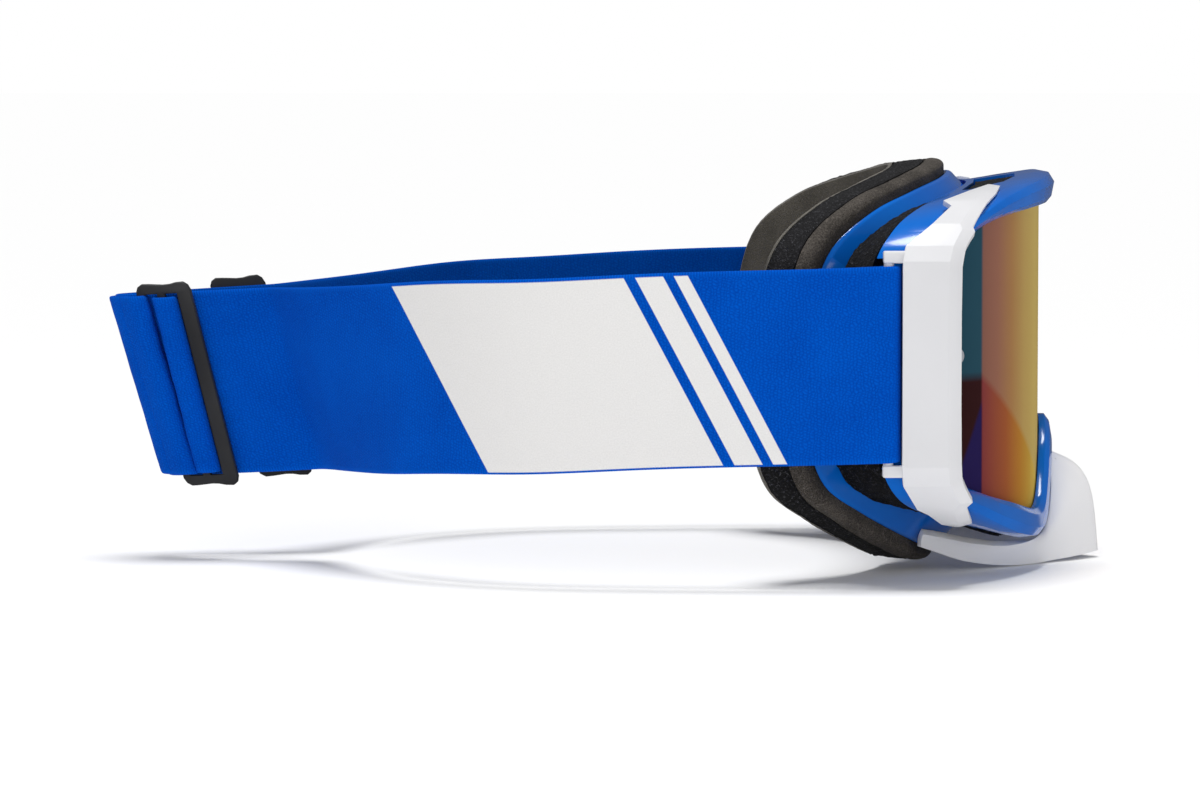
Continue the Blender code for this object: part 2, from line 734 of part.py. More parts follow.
def make_slider(word, side, centre_x):
    quarter = [(7.25, 25.2), (6.1, 27.35), (3.6, 27.2), (0.0, 26.7), (-3.6, 26.9),
               (-6.1, 27.1), (-7.25, 25.2)]
    outline = quarter + [(a, -b) for a, b in reversed(quarter)]
    slots = []
    for a0, a1 in ((0.2, 3.4), (-5.1, -1.9)):
        slots.append([(a0, -25.0), (a1, -25.0), (a1, 25.0), (a0, 25.0)])
    frame = slider_frame(centre_x, side)
    return slab("slider_" + word, [outline] + slots, SLIDER_THICK, frame, BLACK)


def make_bar_fold(word, side, centre_x):
    """Webbing that rises over the slider's middle bar."""
    middle, along, up, out = slider_frame(centre_x, side)
    profile = [(0.55, -0.95), (0.55, 0.95), (-0.1, 1.4), (-1.6, 1.4), (-2.25, 0.95),
               (-2.25, -0.95), (-3.45, -0.95), (-3.45, 1.2), (-2.9, 2.1), (-1.8, 2.6),
               (0.1, 2.6), (1.2, 2.1), (1.75, 1.2), (1.75, -0.95)]
    sections = []
    for b in (-23.8, 23.8):
        sections.append([middle + along * a + up * b + out * n for a, n in profile])
    fold = loft("strap_fold_" + word, sections, WEBBING)
    set_origin(fold, *middle)
    return fold


make_lens_frame()
make_face_frame()
make_lens()
make_nose_guard()
make_face_foams()
make_strap()
make_back_fold()
for WORD, SIDE, CENTRE in (("left", 1, SLIDER_LEFT_X), ("right", -1, SLIDER_RIGHT_X)):
    make_post(WORD, SIDE)
    make_roof_foam(WORD, SIDE)
    make_side_foam(WORD, SIDE)
    make_outrigger(WORD, SIDE)
    make_strap_end(WORD, SIDE)
    make_slider(WORD, SIDE, CENTRE)
    make_bar_fold(WORD, SIDE, CENTRE)
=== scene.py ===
"""Looks for the motorcycle goggles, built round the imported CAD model.

Lengths are millimetres from the same datum as the part, a point between the eyes, until
place() turns them into the model's metres. The wearer's left is +y and the lens faces +x.
"""
import math

import bmesh
import bpy
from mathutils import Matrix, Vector, noise


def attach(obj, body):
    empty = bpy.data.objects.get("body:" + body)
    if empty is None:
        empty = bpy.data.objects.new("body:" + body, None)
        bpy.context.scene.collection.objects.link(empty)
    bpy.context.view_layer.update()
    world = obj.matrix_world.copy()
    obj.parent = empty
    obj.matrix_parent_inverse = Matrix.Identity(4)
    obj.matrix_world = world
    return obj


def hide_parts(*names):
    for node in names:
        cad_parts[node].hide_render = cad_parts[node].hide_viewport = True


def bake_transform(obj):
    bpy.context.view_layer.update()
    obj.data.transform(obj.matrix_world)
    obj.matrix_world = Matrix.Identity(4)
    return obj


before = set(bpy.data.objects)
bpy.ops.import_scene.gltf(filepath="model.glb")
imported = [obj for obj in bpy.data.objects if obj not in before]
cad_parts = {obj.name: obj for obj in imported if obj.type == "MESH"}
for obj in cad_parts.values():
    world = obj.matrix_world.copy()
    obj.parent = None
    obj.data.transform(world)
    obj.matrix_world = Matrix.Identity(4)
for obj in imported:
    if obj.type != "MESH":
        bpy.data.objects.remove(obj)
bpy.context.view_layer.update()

MM = 0.001
DATUM_X = -1.19
DATUM_Z = 40.83

LENS_RADIUS = 110.0
LENS_AXIS_X = 3.8
LENS_THICK = 1.2
LENS_EDGE = 0.34
FACE_LEAN = 0.5
GAP = 0.35

STRAP_HEIGHT = 48.0
STRAP_THICK = 1.5
STRAP_SLOPE = 0.0535
STRAP_BOW = 1.2
STRAP_BOW_LENGTH = 130.0
STRAP_START_X = 72.0
STRAP_MID_Z = 14.3
STRAP_LIFT = 1.3
STRAP_LIFT_X = -42.0
STRAP_LIFT_LENGTH = 22.0
STRAP_BACK_SHEAR = 13.8
SHEAR_START_X = -45.0
SHEAR_LENGTH = 43.0
BAR_X = 70.3
BAR_Y = 86.0
BAR_RADIUS = 1.25
BAR_WRAP_RADIUS = 2.25
TAIL_SLOPE = 0.18
TAIL_FRONT_X = -86.0
TAIL_FRONT_Y = 10.75
TURN_X = -121.5
SLIDER_X = {"left": -88.8, "right": -106.6}
SLIDER_LEAN = 0.25
SLIDER_THICK = 2.0
SLIDER_LIFT = 1.4
FOLD_OUT = 1.8
SIDES = (("left", 1), ("right", -1))

# How finely the tables below are eased, and how round the small round parts are.
FRAME_STEPS = 6
FOAM_STEPS = 14
POST_SIDES = 40
BAR_SIDES = 32
ROUNDING_SEGMENTS = 3

# Outer frame: inner edge y, z; outer edge y, z; depth behind the lens; where its rear edge
# sits across the band (0 inner, 1 outer); height of the front lip. Top centre to nose.
BEZEL = [
    (0.0, 52.0, 0.0, 60.2, 19.0, 0.65, 1.0),
    (24.0, 51.8, 24.0, 59.3, 18.4, 0.65, 1.0),
    (46.0, 50.6, 48.0, 56.8, 17.5, 0.65, 1.0),
    (61.0, 48.4, 66.0, 52.8, 17.0, 0.68, 0.95),
    (70.2, 43.6, 78.0, 46.8, 17.0, 0.76, 0.6),
    (75.2, 34.0, 84.0, 36.5, 17.5, 0.86, 0.38),
    (76.3, 14.5, 85.3, 14.0, 17.0, 0.88, 0.38),
    (75.6, -5.0, 84.6, -7.0, 16.0, 0.88, 0.38),
    (72.0, -15.0, 80.3, -19.0, 14.5, 0.86, 0.6),
    (64.0, -19.2, 69.0, -25.0, 12.0, 0.85, 0.95),
    (50.0, -22.6, 52.0, -30.2, 6.5, 0.85, 1.0),
    (35.0, -25.4, 34.5, -32.8, 6.0, 0.85, 1.0),
    (26.0, -24.6, 22.8, -32.2, 6.0, 0.85, 1.0),
    (18.3, -18.0, 12.8, -26.2, 6.0, 0.85, 1.0),
    (11.0, -9.0, 6.8, -17.5, 6.0, 0.85, 1.0),
    (0.0, -3.4, 0.0, -12.3, 6.0, 0.85, 1.0),
]
# Face plate: inner edge y, z; rim y, z; rim x.
FACE = [
    (0.0, 48.5, 0.0, 60.1, 89.8),
    (22.0, 47.0, 23.5, 58.6, 86.6),
    (41.0, 44.3, 44.5, 55.4, 77.8),
    (53.2, 40.2, 59.5, 50.6, 67.2),
    (60.2, 34.0, 69.8, 42.0, 57.0),
    (62.4, 25.5, 73.7, 29.5, 52.4),
    (62.6, 12.0, 74.5, 12.0, 51.2),
    (61.8, -2.0, 73.9, -4.5, 51.1),
    (59.0, -9.6, 69.5, -16.8, 55.3),
    (53.5, -14.8, 61.5, -24.2, 64.6),
    (43.5, -19.6, 47.5, -31.2, 75.8),
    (33.5, -23.6, 32.5, -35.5, 83.6),
    (29.0, -22.6, 22.8, -33.8, 86.4),
    (26.2, -18.0, 16.9, -25.5, 88.0),
    (18.5, -4.8, 11.3, -14.5, 89.0),
    (0.0, 4.0, 0.0, -8.0, 89.6),
]
# Side clip: place along the outer frame; outer face y, z; rear x; front x; reach of its lip.
OUTRIGGER = [
    (2.15, 51.4, 57.4, 97.0, 100.0, 0.97),
    (2.6, 60.4, 56.0, 91.6, 98.4, 0.96),
    (3.1, 69.8, 53.8, 84.6, 95.4, 0.95),
    (3.3, 72.8, 52.6, 86.4, 94.4, 0.95),
    (4.0, 81.2, 48.4, 81.2, 91.2, 0.93),
    (4.55, 86.8, 43.2, 74.4, 89.2, 0.6),
    (5.0, 89.0, 39.4, 73.6, 88.2, 0.3),
    (5.5, 89.0, 27.0, 73.6, 88.0, 0.25),
    (6.4, 89.0, 4.0, 73.6, 88.0, 0.25),
    (7.15, 89.0, -10.8, 73.6, 88.2, 0.3),
    (7.6, 86.8, -15.6, 74.0, 88.6, 0.6),
    (8.2, 81.2, -21.8, 77.8, 90.0, 0.93),
    (8.35, 79.4, -23.2, 80.6, 90.4, 0.94),
    (8.75, 74.6, -26.0, 84.2, 91.4, 0.95),
    (9.0, 71.0, -26.9, 88.0, 92.0, 0.96),
]
# Nose guard outer surface: upper edge then lower edge, centre ridge to the end of the wing.
NOSE_GUARD = [
    ((117.6, 0.0, -13.2), (130.2, 0.0, -39.2)),
    ((117.3, 5.0, -17.6), (126.8, 5.5, -39.6)),
    ((117.0, 9.2, -24.0), (122.6, 10.4, -40.0)),
    ((115.4, 14.2, -31.2), (117.0, 16.0, -40.4)),
    ((111.4, 21.0, -34.6), (110.0, 23.0, -40.8)),
    ((103.6, 30.0, -35.4), (101.4, 31.2, -40.2)),
    ((94.4, 38.6, -34.0), (92.4, 38.8, -38.4)),
    ((86.4, 44.2, -32.0), (85.4, 43.8, -35.8)),
    ((81.6, 46.4, -31.0), (81.0, 46.0, -34.2)),
]
# Edges of the roof window on the left: y, x.
WINDOW_FRONT = [(4.2, 107.4), (20.0, 106.3), (33.0, 102.4), (42.6, 93.0)]
WINDOW_REAR = [(4.2, 97.0), (20.0, 95.6), (33.0, 93.0), (41.0, 91.2), (42.6, 93.0)]
# Webbing in plan, on the left, from the sewn end round the clip's bar to the slider.
LOOP_INNER = [(53.2, 84.3), (58.0, 84.55), (62.5, 84.4), (66.4, 84.0)]
LOOP_OUTER = [(66.2, 87.7), (62.0, 86.95), (56.0, 86.3)]
STRAP_PATH = [
    (45.0, 85.5), (28.0, 84.5), (8.0, 82.8), (-8.0, 80.5), (-20.0, 77.2), (-31.0, 71.7),
    (-40.0, 65.0), (-49.0, 56.7), (-58.5, 46.6), (-68.0, 36.0), (-76.5, 25.2),
    (-82.5, 15.6), (-85.6, 11.5), (-88.2, 10.354),
]
# The printed graphic: plan x of each white bar's ends at mid height, and its slant.
PRINT_BARS = [(-39.5, 18.0), (20.6, 27.6), (30.0, 33.6)]
PRINT_SLANT = 25.0
# A plan x that no printed bar reaches, and the last path point inside the clip's loop.
NO_PRINT_X = 90.0
LOOP_END = 32
# In metres: one stitch of the weave, the ticks on its edge and the print's soft edge.
STITCH_WIDTH = 0.00088
STITCH_HEIGHT = 0.00078
TICK_WIDTH = 0.00070
PRINT_BLUR = 0.0002
# Points round the fleece's section, and those of them on its cut edge.
FLEECE_POINTS = 21
FLEECE_CUT = range(6, 13)
# Strength of each light: the sky, what glossy faces see of it, the sun and two softboxes.
WORLD_LIGHT = 0.20
ROOM_REFLECTED = 0.13
SUN_LIGHT = 2.55
SIDE_LIGHT = 2.1
FRONT_LIGHT = 1.7


# ---- shape helpers

def place(x, y, z):
    return Vector(((x + DATUM_X) * MM, y * MM, (z + DATUM_Z) * MM))


def mix_rows(four, t):
    row = []
    for a, b, c, d in zip(*four):
        row.append(0.5 * (2 * b + (c - a) * t + (2 * a - 5 * b + 4 * c - d) * t * t
                          + (3 * b - a - 3 * c + d) * t ** 3))
    return tuple(row)


def ease(rows, steps, closed=False):
    """A smooth run of rows through the given ones, every column eased alike."""
    count = len(rows)
    out = []
    for i in range(count if closed else count - 1):
        ids = [i - 1, i, i + 1, i + 2]
        if closed:
            ids = [k % count for k in ids]
        else:
            ids = [min(max(k, 0), count - 1) for k in ids]
        out += [mix_rows([rows[k] for k in ids], j / steps) for j in range(steps)]
    if not closed:
        out.append(tuple(rows[-1]))
    return out


def spread(rows, steps):
    out = []
    for one, two in zip(rows, rows[1:]):
        for j in range(steps):
            out.append(tuple(a + (b - a) * j / steps for a, b in zip(one, two)))
    out.append(tuple(rows[-1]))
    return out


def all_round(half):
    other = [(-r[0], r[1], -r[2]) + tuple(r[3:]) for r in reversed(half[1:-1])]
    return list(half) + other


def row_at(half, t):
    i = min(int(t), len(half) - 2)
    ring = all_round(half)
    count = len(ring)
    return mix_rows([ring[k % count] for k in (i - 1, i, i + 1, i + 2)], t - i)


def smooth_step(t):
    t = min(max(t, 0.0), 1.0)
    return t * t * (3 - 2 * t)


def lens_x(y):
    return LENS_AXIS_X + math.sqrt(LENS_RADIUS ** 2 - y * y)


def across_band(row, s):
    """y, z at share s of the way from a row's inner edge to its outer one."""
    return row[0] + (row[2] - row[0]) * s, row[1] + (row[3] - row[1]) * s


def band_way(row):
    return Vector((0.0, row[2] - row[0], row[3] - row[1])).normalized()


def bezel_point(row, s, v, local=False):
    """A point v ahead of the lens's front, measured there or at the row's inner edge."""
    y, z = across_band(row, s)
    return Vector((lens_x(y if local else row[0]) + v, y, z))


def face_point(row, s, dx):
    y, z = across_band(row, s)
    lean = FACE_LEAN * abs(row[2]) / 74.0
    return Vector((row[4] + lean * (abs(row[2]) - abs(y)) + dx, y, z))


def turns(count):
    return [2 * math.pi * k / count for k in range(count)]


def mirrored(points, side):
    return [Vector((p[0], p[1] * side, p[2])) for p in points]


def in_scene(name, data):
    obj = bpy.data.objects.new(name, data)
    bpy.context.scene.collection.objects.link(obj)
    return obj


def new_piece(name, bm, smooth=None):
    """An object from mesh code, its normals turned out."""
    bmesh.ops.recalc_face_normals(bm, faces=bm.faces)
    mesh = bpy.data.meshes.new(name)
    bm.to_mesh(mesh)
    bm.free()
    obj = in_scene(name, mesh)
    if smooth is not None:
        shade(obj, smooth)
    return obj


def loft(name, sections, closed=False, smooth=None):
    """A solid through sections of equal point count, given in millimetres."""
    bm = bmesh.new()
    rings = [[bm.verts.new(place(*p)) for p in sec] for sec in sections]
    count = len(rings[0])
    pairs = list(zip(rings, rings[1:]))
    if closed:
        pairs.append((rings[-1], rings[0]))
    for one, two in pairs:
        for j in range(count):
            k = (j + 1) % count
            bm.faces.new((one[j], one[k], two[k], two[j]))
    if not closed:
        bm.faces.new(list(reversed(rings[0])))
        bm.faces.new(rings[-1])
    return new_piece(name, bm, smooth)


def shade(obj, degrees):
    """Smooth shading with edges sharper than this kept sharp."""
    mesh = obj.data
    mesh.polygons.foreach_set("use_smooth", [True] * len(mesh.polygons))
    mesh.set_sharp_from_angle(angle=math.radians(degrees))
    mesh.update()


def final_mesh(obj):
    graph = bpy.context.evaluated_depsgraph_get()
    return bpy.data.meshes.new_from_object(obj.evaluated_get(graph))


def settle(obj, degrees):
    """Applies the object's modifiers to its mesh."""
    mesh = final_mesh(obj)
    obj.modifiers.clear()
    obj.data = mesh
    mesh.name = obj.name
    shade(obj, degrees)


def bevel(obj, width, degrees):
    """Rounds the edges sharper than this many degrees."""
    mod = obj.modifiers.new("rounded_edges", "BEVEL")
    mod.width = width * MM
    mod.segments = ROUNDING_SEGMENTS
    mod.limit_method = "ANGLE"
    mod.angle_limit = math.radians(degrees)
    mod.use_clamp_overlap = True


def cut(obj, cutter, operation="DIFFERENCE"):
    """Boolean with a helper solid, which is removed once applied."""
    mod = obj.modifiers.new("with_" + cutter.name, "BOOLEAN")
    mod.operation = operation
    mod.solver = "EXACT"
    mod.object = cutter
    settle(obj, 30)
    bpy.data.objects.remove(cutter, do_unlink=True)


def block(name, low, high):
    plan = [(low[0], low[1]), (high[0], low[1]), (high[0], high[1]), (low[0], high[1])]
    return loft(name, [[(x, y, z) for x, y in plan] for z in (low[2], high[2])])


def rough_up(obj, size, amount, seed):
    """Moves each point along its normal by noise, for grain and small dents."""
    mesh = obj.data
    normals = [v.normal.copy() for v in mesh.vertices]
    shift = Vector((seed, seed * 1.7, -seed))
    for vert, normal in zip(mesh.vertices, normals):
        vert.co += normal * noise.noise(vert.co / (size * MM) + shift) * amount * MM
    mesh.update()


def finish_piece(obj, material, body, nodes):
    """Gives the piece its material, body, replaced CAD nodes and material slot."""
    obj.data.materials.clear()
    obj.data.materials.append(material)
    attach(obj, body)
    if nodes:
        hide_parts(*nodes)


# ---- materials

class Shader:
    """A Principled material and short ways to wire nodes into it."""

    def __init__(self, name, colour, roughness, **fixed):
        self.mat = bpy.data.materials.new(name)
        self.mat.use_nodes = True
        self.tree = self.mat.node_tree
        self.bsdf = self.tree.nodes["Principled BSDF"]
        self.bsdf.inputs["Base Color"].default_value = (*colour, 1.0)
        self.bsdf.inputs["Roughness"].default_value = roughness
        for key, value in fixed.items():
            self.bsdf.inputs[key.replace("_", " ")].default_value = value
        self.mat.diffuse_color = (*colour, 1.0)

    def node(self, kind, **values):
        made = self.tree.nodes.new(kind)
        for key, value in values.items():
            setattr(made, key, value)
        return made

    def wire(self, source, target):
        if isinstance(source, (int, float)):
            target.default_value = source
        else:
            self.tree.links.new(source, target)

    def where(self):
        return self.node("ShaderNodeTexCoord").outputs["Object"]

    def uv(self, name):
        return self.node("ShaderNodeUVMap", uv_map=name).outputs["UV"]

    def apart(self, vector):
        made = self.node("ShaderNodeSeparateXYZ")
        self.wire(vector, made.inputs[0])
        return made.outputs

    def calc(self, operation, a, b=0.0, clamp=False):
        made = self.node("ShaderNodeMath", operation=operation, use_clamp=clamp)
        self.wire(a, made.inputs[0])
        self.wire(b, made.inputs[1])
        return made.outputs[0]

    def plus(self, a, b):
        return self.calc("ADD", a, b)

    def times(self, a, b):
        return self.calc("MULTIPLY", a, b)

    def humps(self, value, rate):
        """Rows of humps from 0 to 1: the size of the sine of value times rate."""
        return self.calc("ABSOLUTE", self.calc("SINE", self.times(value, rate)))

    def noise(self, scale, detail, vector=None):
        made = self.node("ShaderNodeTexNoise")
        self.wire(vector or self.where(), made.inputs["Vector"])
        made.inputs["Scale"].default_value = scale
        made.inputs["Detail"].default_value = detail
        return made.outputs["Fac"]

    def cells(self, scale, feature="F1"):
        made = self.node("ShaderNodeTexVoronoi", feature=feature)
        self.wire(self.where(), made.inputs["Vector"])
        made.inputs["Scale"].default_value = scale
        return made.outputs["Distance"]

    def ramp(self, value, stops):
        made = self.node("ShaderNodeValToRGB")
        self.wire(value, made.inputs[0])
        line = made.color_ramp
        while len(line.elements) < len(stops):
            line.elements.new(0.5)
        for element, (at, colour) in zip(line.elements, stops):
            element.position = at
            element.color = (*colour, 1.0)
        return made.outputs["Color"]

    def levels(self, value, low, high, to_low=0.0, to_high=1.0):
        made = self.node("ShaderNodeMapRange")
        self.wire(value, made.inputs["Value"])
        for key, number in (("From Min", low), ("From Max", high),
                            ("To Min", to_low), ("To Max", to_high)):
            made.inputs[key].default_value = number
        return made.outputs["Result"]

    def mix(self, amount, one, two):
        made = self.node("ShaderNodeMix", data_type="RGBA")
        self.wire(amount, made.inputs[0])
        for value, socket in ((one, made.inputs[6]), (two, made.inputs[7])):
            if isinstance(value, tuple):
                socket.default_value = (*value, 1.0)
            else:
                self.tree.links.new(value, socket)
        return made.outputs[2]

    def bump(self, height, strength, distance):
        made = self.node("ShaderNodeBump")
        made.inputs["Strength"].default_value = strength
        made.inputs["Distance"].default_value = distance * MM
        self.wire(height, made.inputs["Height"])
        self.tree.links.new(made.outputs["Normal"], self.bsdf.inputs["Normal"])

    def colour(self, source):
        self.tree.links.new(source, self.bsdf.inputs["Base Color"])

    def roughness(self, source):
        self.tree.links.new(source, self.bsdf.inputs["Roughness"])


def moulded_plastic(name, colour, deep, low, high, coat, ripple=0.03, gloss=0.4):
    """Slight colour drift, a fine ripple, and roughness that wanders from low to high."""
    s = Shader(name, colour, low, Coat_Weight=coat, Coat_Roughness=0.05,
               Specular_IOR_Level=gloss)
    drift = s.levels(s.noise(38.0, 2.0), 0.35, 0.65)
    s.colour(s.mix(drift, colour, deep))
    s.roughness(s.levels(s.noise(150.0, 3.0), 0.3, 0.7, low, high))
    s.bump(s.noise(160.0, 1.0), ripple, 0.05)
    return s.mat


def foam_material(name, dark, light, cell, strength, glint):
    """Open-cell foam: pores, painted glints on some of the little struts between them, and
    larger soft patches.
    """
    s = Shader(name, dark, 0.92, Specular_IOR_Level=0.25)
    pores = s.cells(cell)
    walls = s.cells(cell * 0.9, "DISTANCE_TO_EDGE")
    grain = s.noise(cell * 2.2, 4.0)
    patch = s.noise(90.0, 2.0)
    tone = s.plus(s.levels(grain, 0.35, 0.7), s.levels(patch, 0.3, 0.7, -0.25, 0.25))
    body = s.mix(s.calc("MULTIPLY", tone, 1.0, clamp=True), dark, light)
    # Painted highlight: specks of lighter colour on some cell walls, standing in for light
    # glinting off the struts.
    spots = s.levels(s.noise(cell * 0.7, 1.0), 0.54, 0.66)
    painted_glint = s.times(s.levels(walls, 0.09, 0.0), spots)
    glint_colour = tuple(min(1.0, c * glint) for c in light)
    s.colour(s.mix(s.calc("MINIMUM", painted_glint, 1.0), body, glint_colour))
    s.bump(s.plus(s.times(pores, -1.0), grain), strength, 0.45)
    return s.mat


def lens_material():
    """Mirror coat: gold in the middle, turning through orange and red to teal at the sides;
    these bands are partly the coat's tint and partly painted reflection, different above and
    below.
    """
    s = Shader("lens_mirror_coat", (0.5, 0.35, 0.12), 0.07, Metallic=0.1,
               Specular_IOR_Level=0.0, Specular_Tint=(0.55, 0.42, 0.28, 1.0))
    y, z = s.apart(s.where())[1:3]
    side = s.calc("DIVIDE", s.calc("ABSOLUTE", y), 0.08)
    height = s.levels(z, 0.013, 0.095)
    # Bands for the upper and the lower half: partly the coat's tint and partly painted
    # reflection.
    upper = s.ramp(side, [(0.0, (0.52, 0.38, 0.12)), (0.30, (0.60, 0.44, 0.14)),
                          (0.46, (0.52, 0.35, 0.12)), (0.58, (0.42, 0.22, 0.09)),
                          (0.68, (0.33, 0.15, 0.10)), (0.765, (0.27, 0.12, 0.09)),
                          (0.775, (0.026, 0.080, 0.115)), (1.0, (0.020, 0.066, 0.095))])
    lower = s.ramp(side, [(0.0, (0.60, 0.42, 0.08)), (0.26, (0.74, 0.52, 0.10)),
                          (0.38, (0.56, 0.34, 0.06)), (0.50, (0.50, 0.22, 0.04)),
                          (0.62, (0.38, 0.11, 0.04)), (0.765, (0.24, 0.05, 0.05)),
                          (0.775, (0.038, 0.013, 0.014)), (1.0, (0.030, 0.010, 0.010))])
    # A dark blue patch low at each side, part of the painted reflection bands.
    past = s.times(s.calc("SUBTRACT", side, 0.77), 2.0)
    dark_side_patch = s.levels(s.plus(s.plus(height, past), -0.38), 0.015, -0.015)
    dark_side_patch = s.times(dark_side_patch, s.levels(side, 0.765, 0.775))
    lower = s.mix(dark_side_patch, lower, (0.024, 0.016, 0.085))
    split = s.calc("SUBTRACT", height, s.times(s.calc("MINIMUM", side, 0.77), 0.65))
    s.colour(s.mix(s.levels(split, -0.055, -0.025), lower, upper))
    s.roughness(s.levels(s.noise(60.0, 3.0), 0.3, 0.7, 0.05, 0.09))
    return s.mat


def knit_height(s, uv):
    """Relief of the elastic: staggered little stitches in upright columns."""
    u, v = s.apart(uv)[:2]
    drift = s.levels(s.noise(420.0, 2.0, uv), 0.3, 0.7, -0.55, 0.55)
    column = s.plus(s.calc("DIVIDE", u, STITCH_WIDTH), drift)
    row = s.plus(s.calc("DIVIDE", v, STITCH_HEIGHT), drift)
    stagger = s.times(s.calc("MODULO", s.calc("FLOOR", column), 2.0), 0.5)
    return s.times(s.humps(column, math.pi), s.humps(s.plus(row, stagger), math.pi))


def edge_band(s, uv):
    """1 within the woven edge, 0 on the rest of the webbing."""
    v = s.apart(uv)[1]
    edge = s.calc("MINIMUM", v, s.calc("SUBTRACT", STRAP_HEIGHT * MM, v))
    return s.levels(edge, 0.0015, 0.0010)


def print_mask(s):
    """White slanted bars, placed by distance along the side and height."""
    at, height = s.apart(s.uv("print"))[:2]
    middle = s.plus(at, s.times(s.calc("SUBTRACT", height, 0.5), PRINT_SLANT * MM))
    total = 0.0
    for low, high in PRINT_BARS:
        inside = s.times(s.levels(middle, low * MM, low * MM + PRINT_BLUR),
                         s.levels(middle, high * MM, high * MM - PRINT_BLUR))
        total = s.plus(total, inside)
    outer = s.levels(height, 0.985, 0.98)
    return s.times(s.times(total, outer), s.levels(height, 0.010, 0.014))


def webbing_material(name, colour, deep, printed=False):
    s = Shader(name, colour, 0.85, Sheen_Weight=0.008, Sheen_Roughness=0.5,
               Specular_IOR_Level=0.015)
    uv = s.uv("weave")
    knit = knit_height(s, uv)
    fuzz = s.noise(2600.0, 3.0, uv)
    band = edge_band(s, uv)
    u = s.apart(uv)[0]
    ticks = s.humps(u, math.pi / TICK_WIDTH)
    relief = s.plus(s.times(knit, s.calc("SUBTRACT", 1.0, band)), s.times(ticks, band))
    # The knit's relief also darkens the colour in the hollows between stitches and edge ticks:
    # painted shade. The fuzz and the slow noise are the cloth's own uneven tone.
    tone = s.plus(s.times(relief, 0.5), s.times(fuzz, 0.7))
    tone = s.plus(tone, s.levels(s.noise(55.0, 2.0, uv), 0.3, 0.7, -0.12, 0.12))
    cloth = s.mix(s.levels(tone, 0.12, 0.95), deep, colour)
    height = s.plus(relief, s.times(fuzz, 0.5))
    if printed:
        ink = print_mask(s)
        soft = s.mix(s.levels(fuzz, 0.3, 0.7), (0.80, 0.79, 0.78), (0.86, 0.85, 0.84))
        cloth = s.mix(ink, cloth, soft)
        s.roughness(s.levels(ink, 0.0, 1.0, 0.84, 0.5))
        height = s.times(height, s.levels(ink, 0.0, 1.0, 1.0, 0.18))
    s.colour(cloth)
    s.bump(height, 0.45, 0.22)
    return s.mat


def floor_material():
    return Shader("studio_floor", (0.93, 0.93, 0.93), 0.9, Specular_IOR_Level=0.0,
                  Emission_Color=(1.0, 1.0, 1.0, 1.0), Emission_Strength=0.05).mat


BLUE = moulded_plastic("frame_blue_plastic", (0.0002, 0.155, 0.660), (0.0002, 0.132, 0.590),
                       0.12, 0.20, 0.3, gloss=0.3)
WHITE = moulded_plastic("clip_white_plastic", (0.77, 0.77, 0.79), (0.74, 0.74, 0.76),
                        0.38, 0.44, 0.0, 0.0, gloss=0.22)
# The clips' white plastic made brighter for the nose guard: painted light, standing in for the
# light its downward and sideways faces miss.
GUARD_PAINTED_LIGHT_WHITE = moulded_plastic("guard_white_painted_light", (0.90, 0.90, 0.92), (0.87, 0.87, 0.89),
                              0.38, 0.44, 0.0, 0.0, gloss=0.22)
BLACK = moulded_plastic("slider_grey_plastic", (0.028, 0.028, 0.030), (0.020, 0.020, 0.022),
                        0.48, 0.62, 0.0)
CLEAR = moulded_plastic("post_clear_plastic", (0.50, 0.52, 0.56), (0.42, 0.44, 0.48),
                        0.12, 0.2, 0.5)
LENS = lens_material()
# The last number of each foam sets how much brighter its painted glints are than its light
# tone.
FOAM_GREY = foam_material("foam_grey_cells", (0.030, 0.026, 0.022), (0.105, 0.092, 0.080),
                          1500.0, 0.30, 1.4)
FOAM_BLACK = foam_material("foam_black_cells", (0.0035, 0.0035, 0.004), (0.018, 0.018, 0.020),
                           2300.0, 0.6, 6.0)
VENT_FOAM = foam_material("vent_foam_cells", (0.003, 0.003, 0.0035), (0.014, 0.014, 0.016),
                          2100.0, 0.7, 7.0)
FLEECE = foam_material("fleece_nap", (0.050, 0.045, 0.036), (0.120, 0.108, 0.088),
                       2400.0, 0.35, 1.3)
FLEECE_EDGE = foam_material("fleece_cut_edge", (0.14, 0.13, 0.115), (0.26, 0.245, 0.22),
                            2600.0, 0.3, 1.2)
STRAP_OUT = webbing_material("webbing_printed", (0.0002, 0.102, 0.600), (0.0001, 0.052, 0.390),
                             printed=True)
STRAP_IN = webbing_material("webbing_inner", (0.0002, 0.080, 0.450), (0.0001, 0.046, 0.310))
STRAP_PLAIN = webbing_material("webbing_plain", (0.0002, 0.102, 0.600), (0.0001, 0.052, 0.390))
THREAD = moulded_plastic("sewing_thread", (0.004, 0.12, 0.62), (0.003, 0.08, 0.45),
                         0.6, 0.8, 0.0)


# ---- frame and lens

def eave_point(row):
    return bezel_point(row, row[5] - 0.2, -row[4] + 0.12 * (row[4] - 6.0))


def bezel_section(row):
    depth, tail, lip = row[4], row[5], row[6]
    return [
        bezel_point(row, 0.0, 0.35, True),
        bezel_point(row, 0.0, max(1.2, 2.0 * lip)),
        bezel_point(row, 0.2, max(1.25, 3.3 * lip)),
        bezel_point(row, 0.65, 4.0 * lip),
        bezel_point(row, 0.93, 2.6 * lip),
        bezel_point(row, 1.0, -0.5),
        bezel_point(row, tail, -depth),
        eave_point(row),
        bezel_point(row, 0.66, -5.5, True),
        bezel_point(row, 0.1, -4.2, True),
        bezel_point(row, 0.08, -1.6, True),
        bezel_point(row, 0.4, -1.6, True),
        bezel_point(row, 0.4, 0.35, True),
    ]


def vent_window(word, side):
    outline = WINDOW_FRONT + list(reversed(WINDOW_REAR[:-1]))
    sections = [[(x, y * side, z) for y, x in outline] for z in (50.0, 66.0)]
    return loft("roof_window_" + word, sections)


